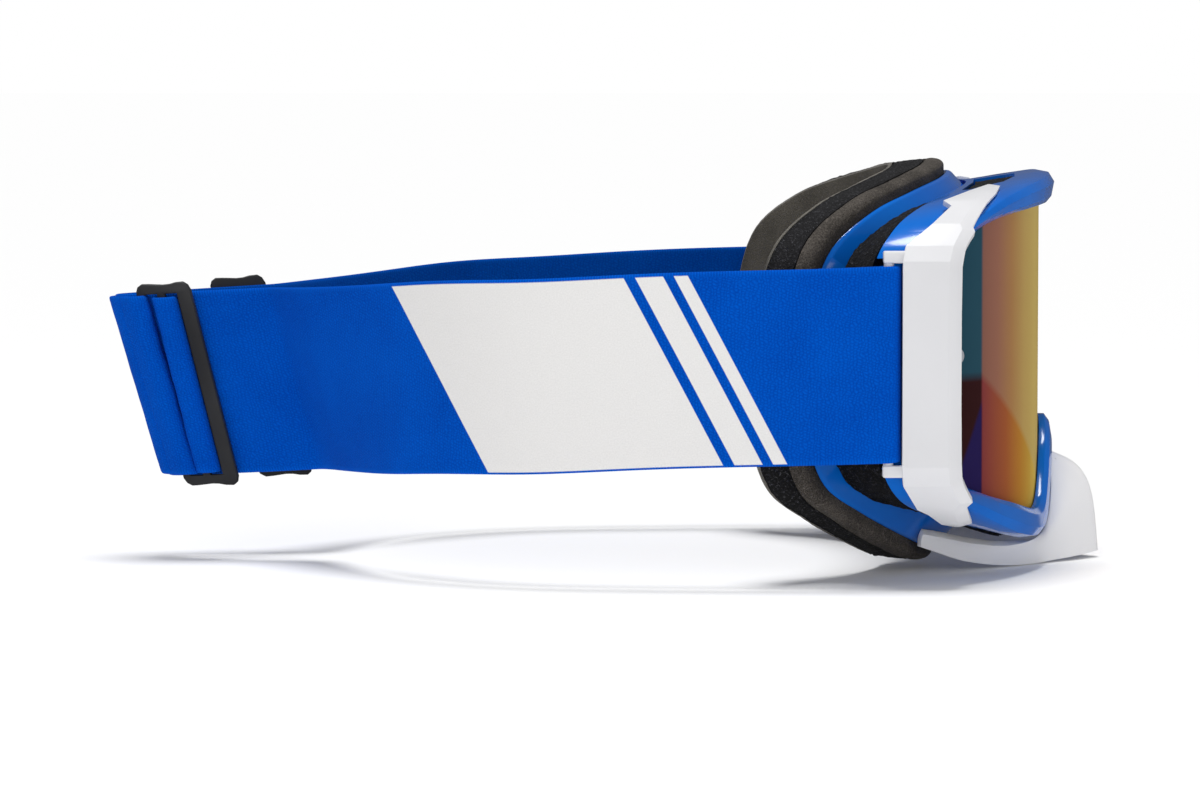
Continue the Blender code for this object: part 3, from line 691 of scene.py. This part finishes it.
def make_lens_frame():
    rows = ease(all_round(BEZEL), FRAME_STEPS, True)
    shell = loft("lens_frame_shell", [bezel_section(r) for r in rows], closed=True)
    bevel(shell, 0.45, 24)
    settle(shell, 30)
    for word, side in SIDES:
        cut(shell, vent_window(word, side))
        y0, y1 = sorted((78.0 * side, 92.0 * side))
        cut(shell, block("strap_notch_" + word, (58.0, y0, -11.4), (74.4, y1, 39.9)))
    shade(shell, 32)
    finish_piece(shell, BLUE, "frame", ["lens_frame"])


def tunnel_ends(brow, frow):
    return face_point(frow, 0.44, 7.0), bezel_point(brow, 0.34, -6.6, True)


def make_face_frame():
    sections = []
    brows, frows = [ease(all_round(t), FRAME_STEPS, True) for t in (BEZEL, FACE)]
    for brow, frow in zip(brows, frows):
        rear, front = tunnel_ends(brow, frow)
        sections.append([
            face_point(frow, 1.0, 0.0),
            face_point(frow, 0.98, 1.3),
            rear,
            front,
            bezel_point(brow, 0.08, -6.2, True),
            face_point(frow, 0.27, 5.0),
            face_point(frow, 0.0, 1.8),
            face_point(frow, 0.0, 0.0),
        ])
    shell = loft("face_frame_shell", sections, closed=True)
    bevel(shell, 0.4, 30)
    settle(shell, 32)
    finish_piece(shell, BLUE, "frame", ["face_frame"])


def height_at(line, y):
    for (y0, z0), (y1, z1) in zip(line, line[1:]):
        if y0 <= y <= y1 and y1 > y0:
            return z0 + (z1 - z0) * (y - y0) / (y1 - y0)
    return line[-1][1]


def make_lens():
    """A sheet bent one way about an upright axis, let into the groove of the outer frame."""
    steps = 8
    rows = ease(all_round(BEZEL), steps, True)[:steps * len(BEZEL) - (steps - 1)]
    half = [bezel_point(r, LENS_EDGE, 0.0, True) for r in rows]
    widest = max(range(len(half)), key=lambda k: half[k].y)
    upper = [(p.y, p.z) for p in half[:widest + 1]]
    lower = [(p.y, p.z) for p in reversed(half[widest:])]
    reach = half[widest].y - 0.15
    count = 90
    stops = [reach * math.sin(math.pi / 2 * k / count) for k in range(count + 1)]
    sections = []
    for y in [-s for s in reversed(stops[1:])] + stops:
        high = height_at(upper, abs(y))
        low = height_at(lower, abs(y))
        front = lens_x(y)
        back = front - LENS_THICK
        sections.append([(front, y, low), (front, y, high), (back, y, high), (back, y, low)])
    sheet = loft("lens_sheet", sections, smooth=30)
    finish_piece(sheet, LENS, "frame", ["lens"])


def make_post(word, side):
    """A button on the lens that tear-off films hook over."""
    y, z = 72.4, 15.6
    out = Vector((math.sqrt(LENS_RADIUS ** 2 - y * y), y * side, 0.0)).normalized()
    foot = Vector((lens_x(y), y * side, z)) + out * 0.25
    profile = [(1.6, 0.0), (1.2, 0.5), (1.2, 1.1), (1.75, 1.3), (1.9, 1.5), (1.9, 2.0),
               (1.72, 2.35), (1.5, 2.5)]
    across = Vector((-out.y, out.x, 0.0))
    sections = []
    for radius, height in profile:
        sections.append([foot + out * height + across * radius * math.cos(a)
                         + Vector((0, 0, radius * math.sin(a))) for a in turns(POST_SIDES)])
    post = loft("tear_off_button_" + word, sections, smooth=40)
    finish_piece(post, CLEAR, "frame", ["tear_off_post_" + word])


# ---- clips and nose guard

def outrigger_section(row, side):
    t, out_y, out_z, rear, front, lip = row
    brow = row_at(BEZEL, t)
    edge = bezel_point(brow, 1.0, 0.0)
    inner = edge + band_way(brow) * 0.35
    crest = lens_x(brow[0]) + 4.0 * brow[6] + 0.35
    front = max(front, crest + 1.3) if lip <= 0.9 else front
    if lip > 0.9:
        crest = front - 1.0
        reach = inner + band_way(brow) * 0.02
    else:
        reach = bezel_point(brow, lip, 0.0)
    outer = Vector((0.0, out_y, out_z))
    chamfer = outer.lerp(inner, 0.5)
    return mirrored([
        (rear, inner.y, inner.z),
        (crest, inner.y, inner.z),
        (crest, reach.y, reach.z),
        (front, reach.y, reach.z),
        (front, chamfer.y, chamfer.z),
        (max(front - 3.2, rear + 0.5), outer.y, outer.z),
        (rear, outer.y, outer.z),
    ], side)


def strap_bar(word, side):
    """The upright bar that the sewn end of the webbing goes round."""
    ring = [(BAR_X + BAR_RADIUS * math.cos(a), (BAR_Y + BAR_RADIUS * math.sin(a)) * side)
            for a in turns(BAR_SIDES)]
    return loft("strap_bar_" + word, [[(x, y, z) for x, y in ring] for z in (-12.0, 40.5)])


def make_outrigger(word, side):
    rows = spread(OUTRIGGER, 4)
    clip = loft("outrigger_shell_" + word, [outrigger_section(r, side) for r in rows])
    bevel(clip, 0.55, 16)
    settle(clip, 25)
    for end, low, high in (("upper", 38.9, 41.9), ("lower", -13.4, -10.4)):
        y0, y1 = sorted((84.5 * side, 87.7 * side))
        lug = block(f"lug_{end}_{word}", (68.9, y0, low), (75.6, y1, high))
        bevel(lug, 0.5, 30)
        settle(lug, 30)
        cut(clip, lug, "UNION")
    cut(clip, strap_bar(word, side), "UNION")
    shade(clip, 25)
    finish_piece(clip, WHITE, "frame", ["outrigger_" + word])


def nose_guard_rows():
    """Eased rows of points down the guard, from the end of one wing to the other."""
    half = []
    for top, low in NOSE_GUARD:
        top, low = Vector(top), Vector(low)
        points = []
        for f, g in ((0.0, 0.0), (0.45, 0.1), (0.74, 0.26), (0.9, 0.52), (1.0, 1.0)):
            points.append((top.x + (low.x - top.x) * f, top.y + (low.y - top.y) * f,
                           top.z + (low.z - top.z) * g))
        half.append([c for p in ease(points, 4) for c in p])
    flip = [[c * (-1 if k % 3 == 1 else 1) for k, c in enumerate(r)] for r in half]
    return ease(list(reversed(flip[1:])) + half, FRAME_STEPS)


def make_nose_guard():
    """The outer surface thickened inward, with the tongue that clips to the frame."""
    bm = bmesh.new()
    lines = []
    for r in nose_guard_rows():
        lines.append([bm.verts.new(place(*r[k:k + 3])) for k in range(0, len(r), 3)])
    for one, two in zip(lines, lines[1:]):
        for j in range(len(one) - 1):
            bm.faces.new((one[j], one[j + 1], two[j + 1], two[j]))
    guard = new_piece("nose_guard_shell", bm)
    if max(guard.data.polygons, key=lambda f: f.center.x).normal.x < 0:
        guard.data.flip_normals()
    skin = guard.modifiers.new("wall", "SOLIDIFY")
    skin.thickness = 2.0 * MM
    skin.offset = -1.0
    bevel(guard, 0.6, 50)
    settle(guard, 35)
    tongue = block("nose_tongue", (109.5, -2.6, -16.6), (119.0, 2.6, -15.0))
    cut(guard, tongue, "UNION")
    shade(guard, 35)
    finish_piece(guard, GUARD_PAINTED_LIGHT_WHITE, "nose_guard", ["nose_guard"])


# ---- foam

def foam_ring(name, profile, grain, amount, seed):
    """A ring of foam cut to the face, its section eased into a soft outline."""
    section = ease(profile, 3, True)
    sections = []
    for r in ease(all_round(FACE), FOAM_STEPS, True):
        full = 1.0 + 0.14 * (r[4] - 51.0) / 39.0
        sections.append([face_point(r, s, dx * full) for s, dx in section])
    ring = loft(name, sections, closed=True)
    rough_up(ring, 22.0, 0.35, seed)
    rough_up(ring, grain, amount, seed + 3.0)
    shade(ring, 60)
    return ring


def make_face_foams():
    base = foam_ring("face_foam_base", [
        (0.02, -0.7), (0.5, -0.45), (1.06, -0.5), (1.18, -0.8), (1.24, -1.7), (1.26, -2.9),
        (1.24, -4.1), (1.18, -4.85), (0.6, -5.0), (0.02, -4.8)], 1.6, 0.10, 1.0)
    finish_piece(base, FOAM_GREY, "frame", ["foam_base_layer"])
    middle = foam_ring("face_foam_middle", [
        (0.03, -5.3), (0.6, -5.15), (1.18, -5.15), (1.23, -5.8), (1.22, -8.4), (1.17, -11.0),
        (1.13, -11.95), (0.6, -11.95), (0.08, -11.8)], 1.4, 0.30, 7.0)
    finish_piece(middle, FOAM_BLACK, "frame", ["foam_middle_layer"])
    fleece = foam_ring("face_foam_fleece", [
        (0.06, -12.2), (0.6, -12.05), (1.11, -12.15), (1.13, -12.6), (1.1, -13.15),
        (0.6, -13.5), (0.1, -13.25)], 1.0, 0.08, 12.0)
    finish_piece(fleece, FLEECE, "frame", ["foam_face_fleece"])
    mark_fleece_rim(fleece)


def mark_fleece_rim(fleece):
    """Gives the cut edge of the fleece its paler material."""
    fleece.data.materials.append(FLEECE_EDGE)
    for face in fleece.data.polygons:
        if all(v % FLEECE_POINTS in FLEECE_CUT for v in face.vertices):
            face.material_index = 1


def along_edges(corners, counts):
    """Points round a section, each edge split into its own count of parts."""
    out = []
    for k, count in enumerate(counts):
        one, two = corners[k], corners[(k + 1) % len(corners)]
        out += [one.lerp(two, j / count) for j in range(count)]
    return out


def z_between(one, two, x):
    return one.z + (two.z - one.z) * (x - one.x) / (two.x - one.x)


def roof_foam_section(t):
    """The roof's foam under the frame, rising through its window to just below the surface."""
    brow, frow = row_at(BEZEL, t), row_at(FACE, t)
    rear, front = tunnel_ends(brow, frow)
    drop = Vector((0.0, 0.0, GAP + 0.1))
    eave, inner = eave_point(brow), bezel_point(brow, 0.66, -5.5, True)
    low_front, low_rear = eave.lerp(inner, 0.9) - drop, eave.lerp(inner, 0.22) - drop
    y = low_rear.y
    x1 = height_at(WINDOW_FRONT, y) - 0.5
    x0 = min(height_at(WINDOW_REAR, y) + 0.5, x1 - 0.5)
    edge, tail = bezel_point(brow, 1.0, -0.5), bezel_point(brow, brow[5], -brow[4])
    share = min(max((x1 - x0 - 0.5) / 2.0, 0.0), 1.0)
    rise = []
    for x in (x1, x0):
        under = z_between(low_rear, low_front, x)
        roof = z_between(tail, edge, x) - 0.7
        rise.append((under, under + max(roof - under, 0.2) * share))
    return [rear.lerp(front, 0.12) + drop, rear.lerp(front, 0.92) + drop, low_front,
            Vector((x1, y, rise[0][0])), Vector((x1, y, rise[0][1])),
            Vector((x0, y, rise[1][1])), Vector((x0, y, rise[1][0])), low_rear]


def make_roof_foam(word, side):
    sections = []
    start, run, count = 0.24, 1.46, 40
    for k in range(count + 1):
        corners = mirrored(roof_foam_section(start + run * k / count), side)
        sections.append(along_edges(corners, (8, 2, 2, 2, 8, 2, 2, 2)))
    foam = loft("roof_foam_" + word, sections)
    rough_up(foam, 1.3, 0.32, 20.0 + side)
    shade(foam, 60)
    finish_piece(foam, VENT_FOAM, "frame", ["vent_foam_top_" + word])


def side_foam_section(t):
    """The side channel's foam, over the tunnel's outer wall and under the frame's edge."""
    brow, frow = row_at(BEZEL, t), row_at(FACE, t)
    rear, front = tunnel_ends(brow, frow)
    depth = brow[4]
    out = band_way(brow) * 0.65
    reach = min(1.04 - 0.04 * depth + 0.12, 0.9)
    swell = 0.6 + 0.34 * (17.0 - depth) / 11.0
    inset = 0.38 + 0.5 * min(max((t - 8.9) / 0.9, 0.0), 1.0)
    foot = face_point(frow, 0.98, 1.3).lerp(rear, inset) + Vector((0.6, 0.0, 0.0))
    return [
        foot,
        rear.lerp(front, 0.08) + out,
        rear.lerp(front, reach) + out,
        bezel_point(brow, min(swell, 0.94), -depth - 0.5),
        foot + Vector((1.1, 0.0, 0.0)) + out * 0.5,
    ]


def make_side_foam(word, side):
    sections = []
    start, end, count = 2.35, 12.3, 190
    for k in range(count + 1):
        corners = mirrored(side_foam_section(start + (end - start) * k / count), side)
        sections.append(along_edges(corners, (4, 8, 4, 12, 2)))
    foam = loft("side_foam_" + word, sections)
    rough_up(foam, 1.3, 0.34, 30.0 + side)
    shade(foam, 60)
    finish_piece(foam, VENT_FOAM, "frame", ["vent_foam_side_" + word])


# ---- strap

def strap_shear(x, h):
    """Plan x at height h, where the slanted rear moves low points forward."""
    return x + STRAP_BACK_SHEAR * smooth_step((SHEAR_START_X - x) / SHEAR_LENGTH) * (1 - h)


def strap_z(x, h):
    back = min(max(STRAP_START_X - x, 0.0), STRAP_BOW_LENGTH)
    bow = STRAP_BOW * math.sin(math.pi * back / STRAP_BOW_LENGTH) ** 2
    bow += STRAP_LIFT * math.exp(-((x - STRAP_LIFT_X) / STRAP_LIFT_LENGTH) ** 2)
    return STRAP_MID_Z + STRAP_SLOPE * (x - STRAP_START_X) + bow + STRAP_HEIGHT * (h - 0.5)


def tail_y(x):
    return TAIL_FRONT_Y + TAIL_SLOPE * (x - TAIL_FRONT_X)


def turn_points(radius, steps):
    lean = math.atan(TAIL_SLOPE)
    out = []
    for k in range(steps + 1):
        a = math.pi / 2 + lean + (math.pi - 2 * lean) * k / steps
        out.append((TURN_X + radius * math.cos(a), radius * math.sin(a)))
    return out


def path_normals(path):
    """Directions square to the path in plan, on the cloth's outer side."""
    out = []
    for k in range(len(path)):
        a, b = path[max(k - 1, 0)], path[min(k + 1, len(path) - 1)]
        dx, dy = b[0] - a[0], b[1] - a[1]
        size = math.hypot(dx, dy)
        out.append((dy / size, -dx / size))
    return out


def cross_section(thick, across):
    """(h, offset) round the webbing: outer face upward, over the edge, inner face down."""
    bead = 0.018
    out = []
    for k in range(across + 1):
        out.append((bead + (1 - 2 * bead) * k / across, 0.5 * thick))
    for a in (60, 30, 0, -30, -60):
        out.append((1 - bead + bead * math.cos(math.radians(a)),
                    0.5 * thick * math.sin(math.radians(a))))
    for k in range(across + 1):
        out.append((1 - bead - (1 - 2 * bead) * k / across, -0.5 * thick))
    for a in (-60, -30, 0, 30, 60):
        out.append((bead - bead * math.cos(math.radians(a)),
                    0.5 * thick * math.sin(math.radians(a))))
    return out


def woven(name, rings, profile, across, plan_x, materials):
    """Webbing skin from rings of points, with weave and print coordinates in metres."""
    bm = bmesh.new()
    weave = bm.loops.layers.uv.new("weave")
    ink = bm.loops.layers.uv.new("print")
    runs = [0.0]
    for one, two in zip(rings, rings[1:]):
        runs.append(runs[-1] + (two[across // 2] - one[across // 2]).length)
    verts = [[bm.verts.new(p) for p in ring] for ring in rings]
    count = len(profile)
    for i in range(len(rings) - 1):
        for j in range(count):
            k = (j + 1) % count
            face = bm.faces.new((verts[i][j], verts[i][k], verts[i + 1][k], verts[i + 1][j]))
            face.material_index = 0 if (j <= across + 2 or j >= count - 3) else 1
            for loop, (a, b) in zip(face.loops, ((i, j), (i, k), (i + 1, k), (i + 1, j))):
                h = profile[b][0]
                loop[weave].uv = (runs[a], h * STRAP_HEIGHT * MM)
                loop[ink].uv = (plan_x[a] * MM, h)
    for end in (list(reversed(verts[0])), verts[-1]):
        bm.faces.new(end).material_index = 1
    obj = new_piece(name, bm, 60)
    for material in materials:
        obj.data.materials.append(material)
    return obj


def strap_rings(path, profile):
    rings = []
    for (x, y), (nx, ny) in zip(path, path_normals(path)):
        ring = []
        for h, off in profile:
            swell = 0.05 * noise.noise(Vector((x / 17.0, h * 2.2, y / 17.0)))
            px, py = x + nx * (off + swell), y + ny * (off + swell)
            sheared = strap_shear(px, h)
            ring.append(place(sheared, py, strap_z(sheared, h)))
        rings.append(ring)
    return rings


def half_path():
    """Left half of the strap in plan, from the sewn end to the start of the back turn."""
    arc = []
    for a in range(-100, 101, 10):
        turn = math.radians(a)
        arc.append((BAR_X + BAR_WRAP_RADIUS * math.cos(turn),
                    BAR_Y + BAR_WRAP_RADIUS * math.sin(turn)))
    tail = [(x, tail_y(x)) for x in (-94.0, -100.0, -106.0, -112.0, -117.0)]
    return ease(LOOP_INNER, 3)[:-1] + arc + ease(LOOP_OUTER + STRAP_PATH, 8) + tail


def make_strap():
    """Two halves that meet at the back; each follows the frame at its clip, then the strap."""
    across = 20
    path = half_path() + turn_points(tail_y(TURN_X), 18)[:10]
    plan_x = [x if k > LOOP_END else NO_PRINT_X for k, (x, y) in enumerate(path)]
    profile = cross_section(STRAP_THICK, across)
    left = strap_rings(path, profile)
    for word, side in SIDES:
        rings = [mirrored(ring, side) for ring in left]
        piece = woven("strap_webbing_" + word, rings, profile, across, plan_x,
                      (STRAP_OUT, STRAP_IN))
        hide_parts(*(["strap", "strap_end_left"] if side > 0 else ["strap_end_right"]))
        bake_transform(piece)


def stitch_rows(word, side):
    """Rows of thread that hold the folded end of the webbing to itself."""
    bm = bmesh.new()
    size = Vector((0.14, 0.13, 0.56)) * MM
    last = 29
    for x in (54.6, 56.4):
        for k in range(last + 1):
            h = 0.05 + 0.9 * k / last
            middle = place(x, 83.62 * side, strap_z(x, h))
            ring = bmesh.ops.create_icosphere(bm, subdivisions=1, radius=1.0)["verts"]
            for v in ring:
                v.co = middle + Vector((v.co.x * size.x, v.co.y * size.y, v.co.z * size.z))
    obj = new_piece("end_stitches_" + word, bm, 60)
    finish_piece(obj, THREAD, "frame", ())


def slider_top_x(word):
    """Plan x of the slider's middle before the strap's slanted rear moves it forward."""
    return SLIDER_X[word] - STRAP_BACK_SHEAR / 2


def slider_frame(word, side):
    """The slider's middle and its directions: along the strap, up the strap and outward."""
    centre_x = SLIDER_X[word]
    along = Vector((1.0, TAIL_SLOPE * side, STRAP_SLOPE)).normalized()
    rise = (1.0 + STRAP_SLOPE * SLIDER_LEAN) * STRAP_BACK_SHEAR / STRAP_HEIGHT
    up = Vector((-SLIDER_LEAN, TAIL_SLOPE * (rise - SLIDER_LEAN) * side, 1.0)).normalized()
    out = up.cross(along).normalized() * side
    surface = Vector((centre_x, tail_y(slider_top_x(word)) * side, strap_z(centre_x, 0.5)))
    return surface + out * (STRAP_THICK / 2 + SLIDER_LIFT), along, up, out


def slider_rings():
    """Outline with scalloped short ends, then the two slots, in the slider's own plane."""
    quarter = [(7.25, 24.9), (6.7, 26.4), (5.6, 27.2), (3.6, 27.1), (1.8, 26.7), (0.0, 26.6),
               (-1.8, 26.75), (-3.6, 26.9), (-5.4, 26.95), (-6.6, 26.2), (-7.25, 24.9)]
    rings = [quarter + [(a, -b) for a, b in reversed(quarter)]]
    end = 24.2
    for a0, a1 in ((0.2, 3.4), (-5.1, -1.9)):
        rings.append([(a0, -end), (a1, -end), (a1, end), (a0, end)])
    return rings


def soft_plate(rings, soft):
    """A flat plate with holes, its edges rounded by the soft radius."""
    data = bpy.data.curves.new("slide_outline", "CURVE")
    data.dimensions = "2D"
    data.fill_mode = "BOTH"
    data.extrude = (SLIDER_THICK / 2 - soft) * MM
    data.bevel_depth = soft * MM
    data.bevel_resolution = 2
    data.offset = -soft * MM
    for ring in rings:
        spline = data.splines.new("POLY")
        spline.points.add(len(ring) - 1)
        for point, (a, b) in zip(spline.points, ring):
            point.co = (a * MM, b * MM, 0.0, 1.0)
        spline.use_cyclic_u = True
    holder = in_scene("outline", data)
    mesh = final_mesh(holder)
    bpy.data.objects.remove(holder, do_unlink=True)
    bm = bmesh.new()
    bm.from_mesh(mesh)
    bmesh.ops.remove_doubles(bm, verts=bm.verts, dist=0.00001)
    return bm


def make_slider(word, side):
    """Three-bar slide, stood on the strap."""
    middle, along, up, out = slider_frame(word, side)
    origin = place(*middle)
    bm = soft_plate(slider_rings(), 0.38)
    for v in bm.verts:
        v.co = origin + along * v.co.x + up * v.co.y + out * v.co.z
    slide = new_piece("slide_" + word, bm, 35)
    finish_piece(slide, BLACK, "slider_" + word, ["slider_" + word])


def folded_layer(name, rings, profile, across):
    plan_x = [NO_PRINT_X] * len(rings)
    return woven(name, rings, profile, across, plan_x, (STRAP_PLAIN, STRAP_PLAIN))


def wave(b, seed):
    """Slight waviness of a folded edge."""
    return 0.22 * math.sin(b * 0.31 + seed) + 0.16 * math.sin(b * 0.83 + seed * 2.1)


def make_roll(word, side):
    """Webbing that rises over the slider's middle bar."""
    across, width = 24, 47.0
    middle, along, up, out = slider_frame(word, side)
    centre = ease([(2.55, -0.9), (2.5, 1.0), (1.9, 2.35), (0.5, 3.0), (-1.0, 3.0),
                   (-2.2, 2.35), (-2.65, 1.0), (-2.7, -0.9)], 5)
    profile = cross_section(1.3, across)
    rings = []
    for (a, n), (turn_a, turn_n) in zip(centre, path_normals(centre)):
        puff = smooth_step((n + 0.2) / 2.0)
        ring = []
        for h, off in profile:
            b = (h - 0.5) * width
            bump = wave(b, 0.7 + side) * puff
            ring.append(place(*(middle + along * (a + turn_a * off)
                                + up * b + out * (n + turn_n * off + bump))))
        rings.append(ring)
    roll = folded_layer("strap_roll_" + word, rings, profile, across)
    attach(roll, "slider_" + word)
    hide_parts("strap_fold_" + word)


def outer_run_centres(word):
    """(plan x, distance out from the strap's middle) from the slider's rear slot back."""
    top_x = slider_top_x(word)
    lift = STRAP_THICK / 2 + SLIDER_LIFT
    local = [(-4.3, -0.9), (-4.35, 0.9), (-4.9, 2.1), (-6.2, 2.75), (-7.8, 2.5), (-9.6, 1.3),
             (-11.2, 0.1)]
    run = [(top_x + a * 0.983, lift + n) for a, n in ease(local, 4)]
    last = run[-1][0]
    for x in (last - 3.0, last - 7.0, last - 12.0, last - 17.0):
        if x > TURN_X + 1.5:
            run.append((x, FOLD_OUT))
    return run


def outer_run_ends(word):
    """Where the layer leaves the slider and where it is wholly the strap's."""
    start, end = slider_top_x(word) - 5.0, TURN_X - 4.0
    slant = STRAP_BACK_SHEAR / STRAP_HEIGHT
    first = Vector((start + STRAP_BACK_SHEAR / 2, 0.0, strap_z(start, 0.5)))
    way = Vector((1.0, 0.0, slant)) * (end - start) / (1.0 + slant * slant)
    return first, first + way


def make_outer_run(word, side):
    """The layer of webbing that goes over the slider's rear bar and round the back."""
    across = 24
    path = []
    run = outer_run_centres(word)
    lean = math.atan(TAIL_SLOPE)
    for x, off in run:
        path.append((x - math.sin(lean) * off, tail_y(x) + math.cos(lean) * off))
    path += turn_points(tail_y(TURN_X) + FOLD_OUT, 24)[:13]
    profile = cross_section(1.1, across)
    rings = []
    for k, ((x, y), (nx, ny)) in enumerate(zip(path, path_normals(path))):
        ring = []
        edge = 0.5 if k < len(run) else 0.15
        for h, off in profile:
            level = 0.01 + 0.98 * h
            bump = wave((h - 0.5) * 48.0 + k * 0.5, 2.0 + side) * edge
            px, py = x + nx * (off + bump), y + ny * (off + bump)
            shear = STRAP_BACK_SHEAR * (1 - level)
            ring.append(place(px + shear, py * side, strap_z(px + shear, level)))
        rings.append(ring)
    piece = folded_layer("strap_outer_" + word, rings, profile, across)
    if side > 0:
        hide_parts("strap_back_fold")
    first, last = outer_run_ends(word)
    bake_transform(piece)


# ---- studio

def point_at(obj, direction):
    obj.rotation_mode = "QUATERNION"
    obj.rotation_quaternion = direction.to_track_quat("-Z", "Y")


def area_light(name, at, to, size, power):
    """A square softbox of this many metres, aimed at a point."""
    data = bpy.data.lights.new(name, "AREA")
    data.energy = power
    data.shape = "SQUARE"
    data.size = size
    lamp = in_scene(name, data)
    lamp.location = at
    point_at(lamp, Vector(to) - Vector(at))


def plain_white(node, strength):
    node.inputs["Color"].default_value = (1.0, 1.0, 1.0, 1.0)
    node.inputs["Strength"].default_value = strength
    return node.outputs[0]


def make_world():
    """Even white light; the backdrop itself shows as plain white."""
    world = bpy.data.worlds.new("studio")
    world.use_nodes = True
    tree = world.node_tree
    glow = plain_white(tree.nodes["Background"], WORLD_LIGHT)
    backdrop = plain_white(tree.nodes.new("ShaderNodeBackground"), 1.0)
    room = plain_white(tree.nodes.new("ShaderNodeBackground"), ROOM_REFLECTED)
    path = tree.nodes.new("ShaderNodeLightPath")
    inner = tree.nodes.new("ShaderNodeMixShader")
    tree.links.new(path.outputs["Is Glossy Ray"], inner.inputs[0])
    tree.links.new(glow, inner.inputs[1])
    tree.links.new(room, inner.inputs[2])
    mix = tree.nodes.new("ShaderNodeMixShader")
    tree.links.new(path.outputs["Is Camera Ray"], mix.inputs[0])
    tree.links.new(inner.outputs[0], mix.inputs[1])
    tree.links.new(backdrop, mix.inputs[2])
    tree.links.new(mix.outputs[0], tree.nodes["World Output"].inputs["Surface"])
    bpy.context.scene.world = world


def make_sun():
    data = bpy.data.lights.new("soft_sun", "SUN")
    data.energy = SUN_LIGHT
    data.angle = math.radians(24.0)
    point_at(in_scene("soft_sun", data), Vector((0.03, -0.04, -1.0)))


def make_studio():
    bm = bmesh.new()
    bmesh.ops.create_grid(bm, x_segments=8, y_segments=8, size=40.0)
    floor = new_piece("studio_floor", bm)
    if floor.data.polygons[0].normal.z < 0:
        floor.data.flip_normals()
    floor.location = (0.0, 0.0, -0.0002)
    floor.data.materials.append(floor_material())
    floor.visible_glossy = False
    make_world()
    make_sun()
    area_light("side_softbox", (-0.25, -0.9, 0.35), (0.0, 0.0, 0.05), 0.6, SIDE_LIGHT)
    area_light("front_fill", (0.75, -0.65, 0.12), (0.1, 0.0, 0.04), 0.5, FRONT_LIGHT)
    bpy.context.scene.view_settings.view_transform = "Standard"


def make_camera():
    """Level with the strap and square to the side, from a little above."""
    distance, elevation = 1.3, math.radians(3.7)
    data = bpy.data.cameras.new("camera")
    data.sensor_width = 36.0
    data.lens = 149.4
    camera = in_scene("camera", data)
    aim = place(0.0, 0.0, 0.0)
    back = Vector((0.0, -math.cos(elevation), math.sin(elevation)))
    camera.location = aim + back * distance
    point_at(camera, -back)
    bpy.context.scene.camera = camera


make_camera()
make_studio()
make_lens_frame()
make_face_frame()
make_lens()
make_nose_guard()
make_face_foams()
make_strap()
for WORD, SIDE in SIDES:
    make_post(WORD, SIDE)
    make_roof_foam(WORD, SIDE)
    make_side_foam(WORD, SIDE)
    make_outrigger(WORD, SIDE)
    stitch_rows(WORD, SIDE)
    make_slider(WORD, SIDE)
    make_roll(WORD, SIDE)
    make_outer_run(WORD, SIDE)
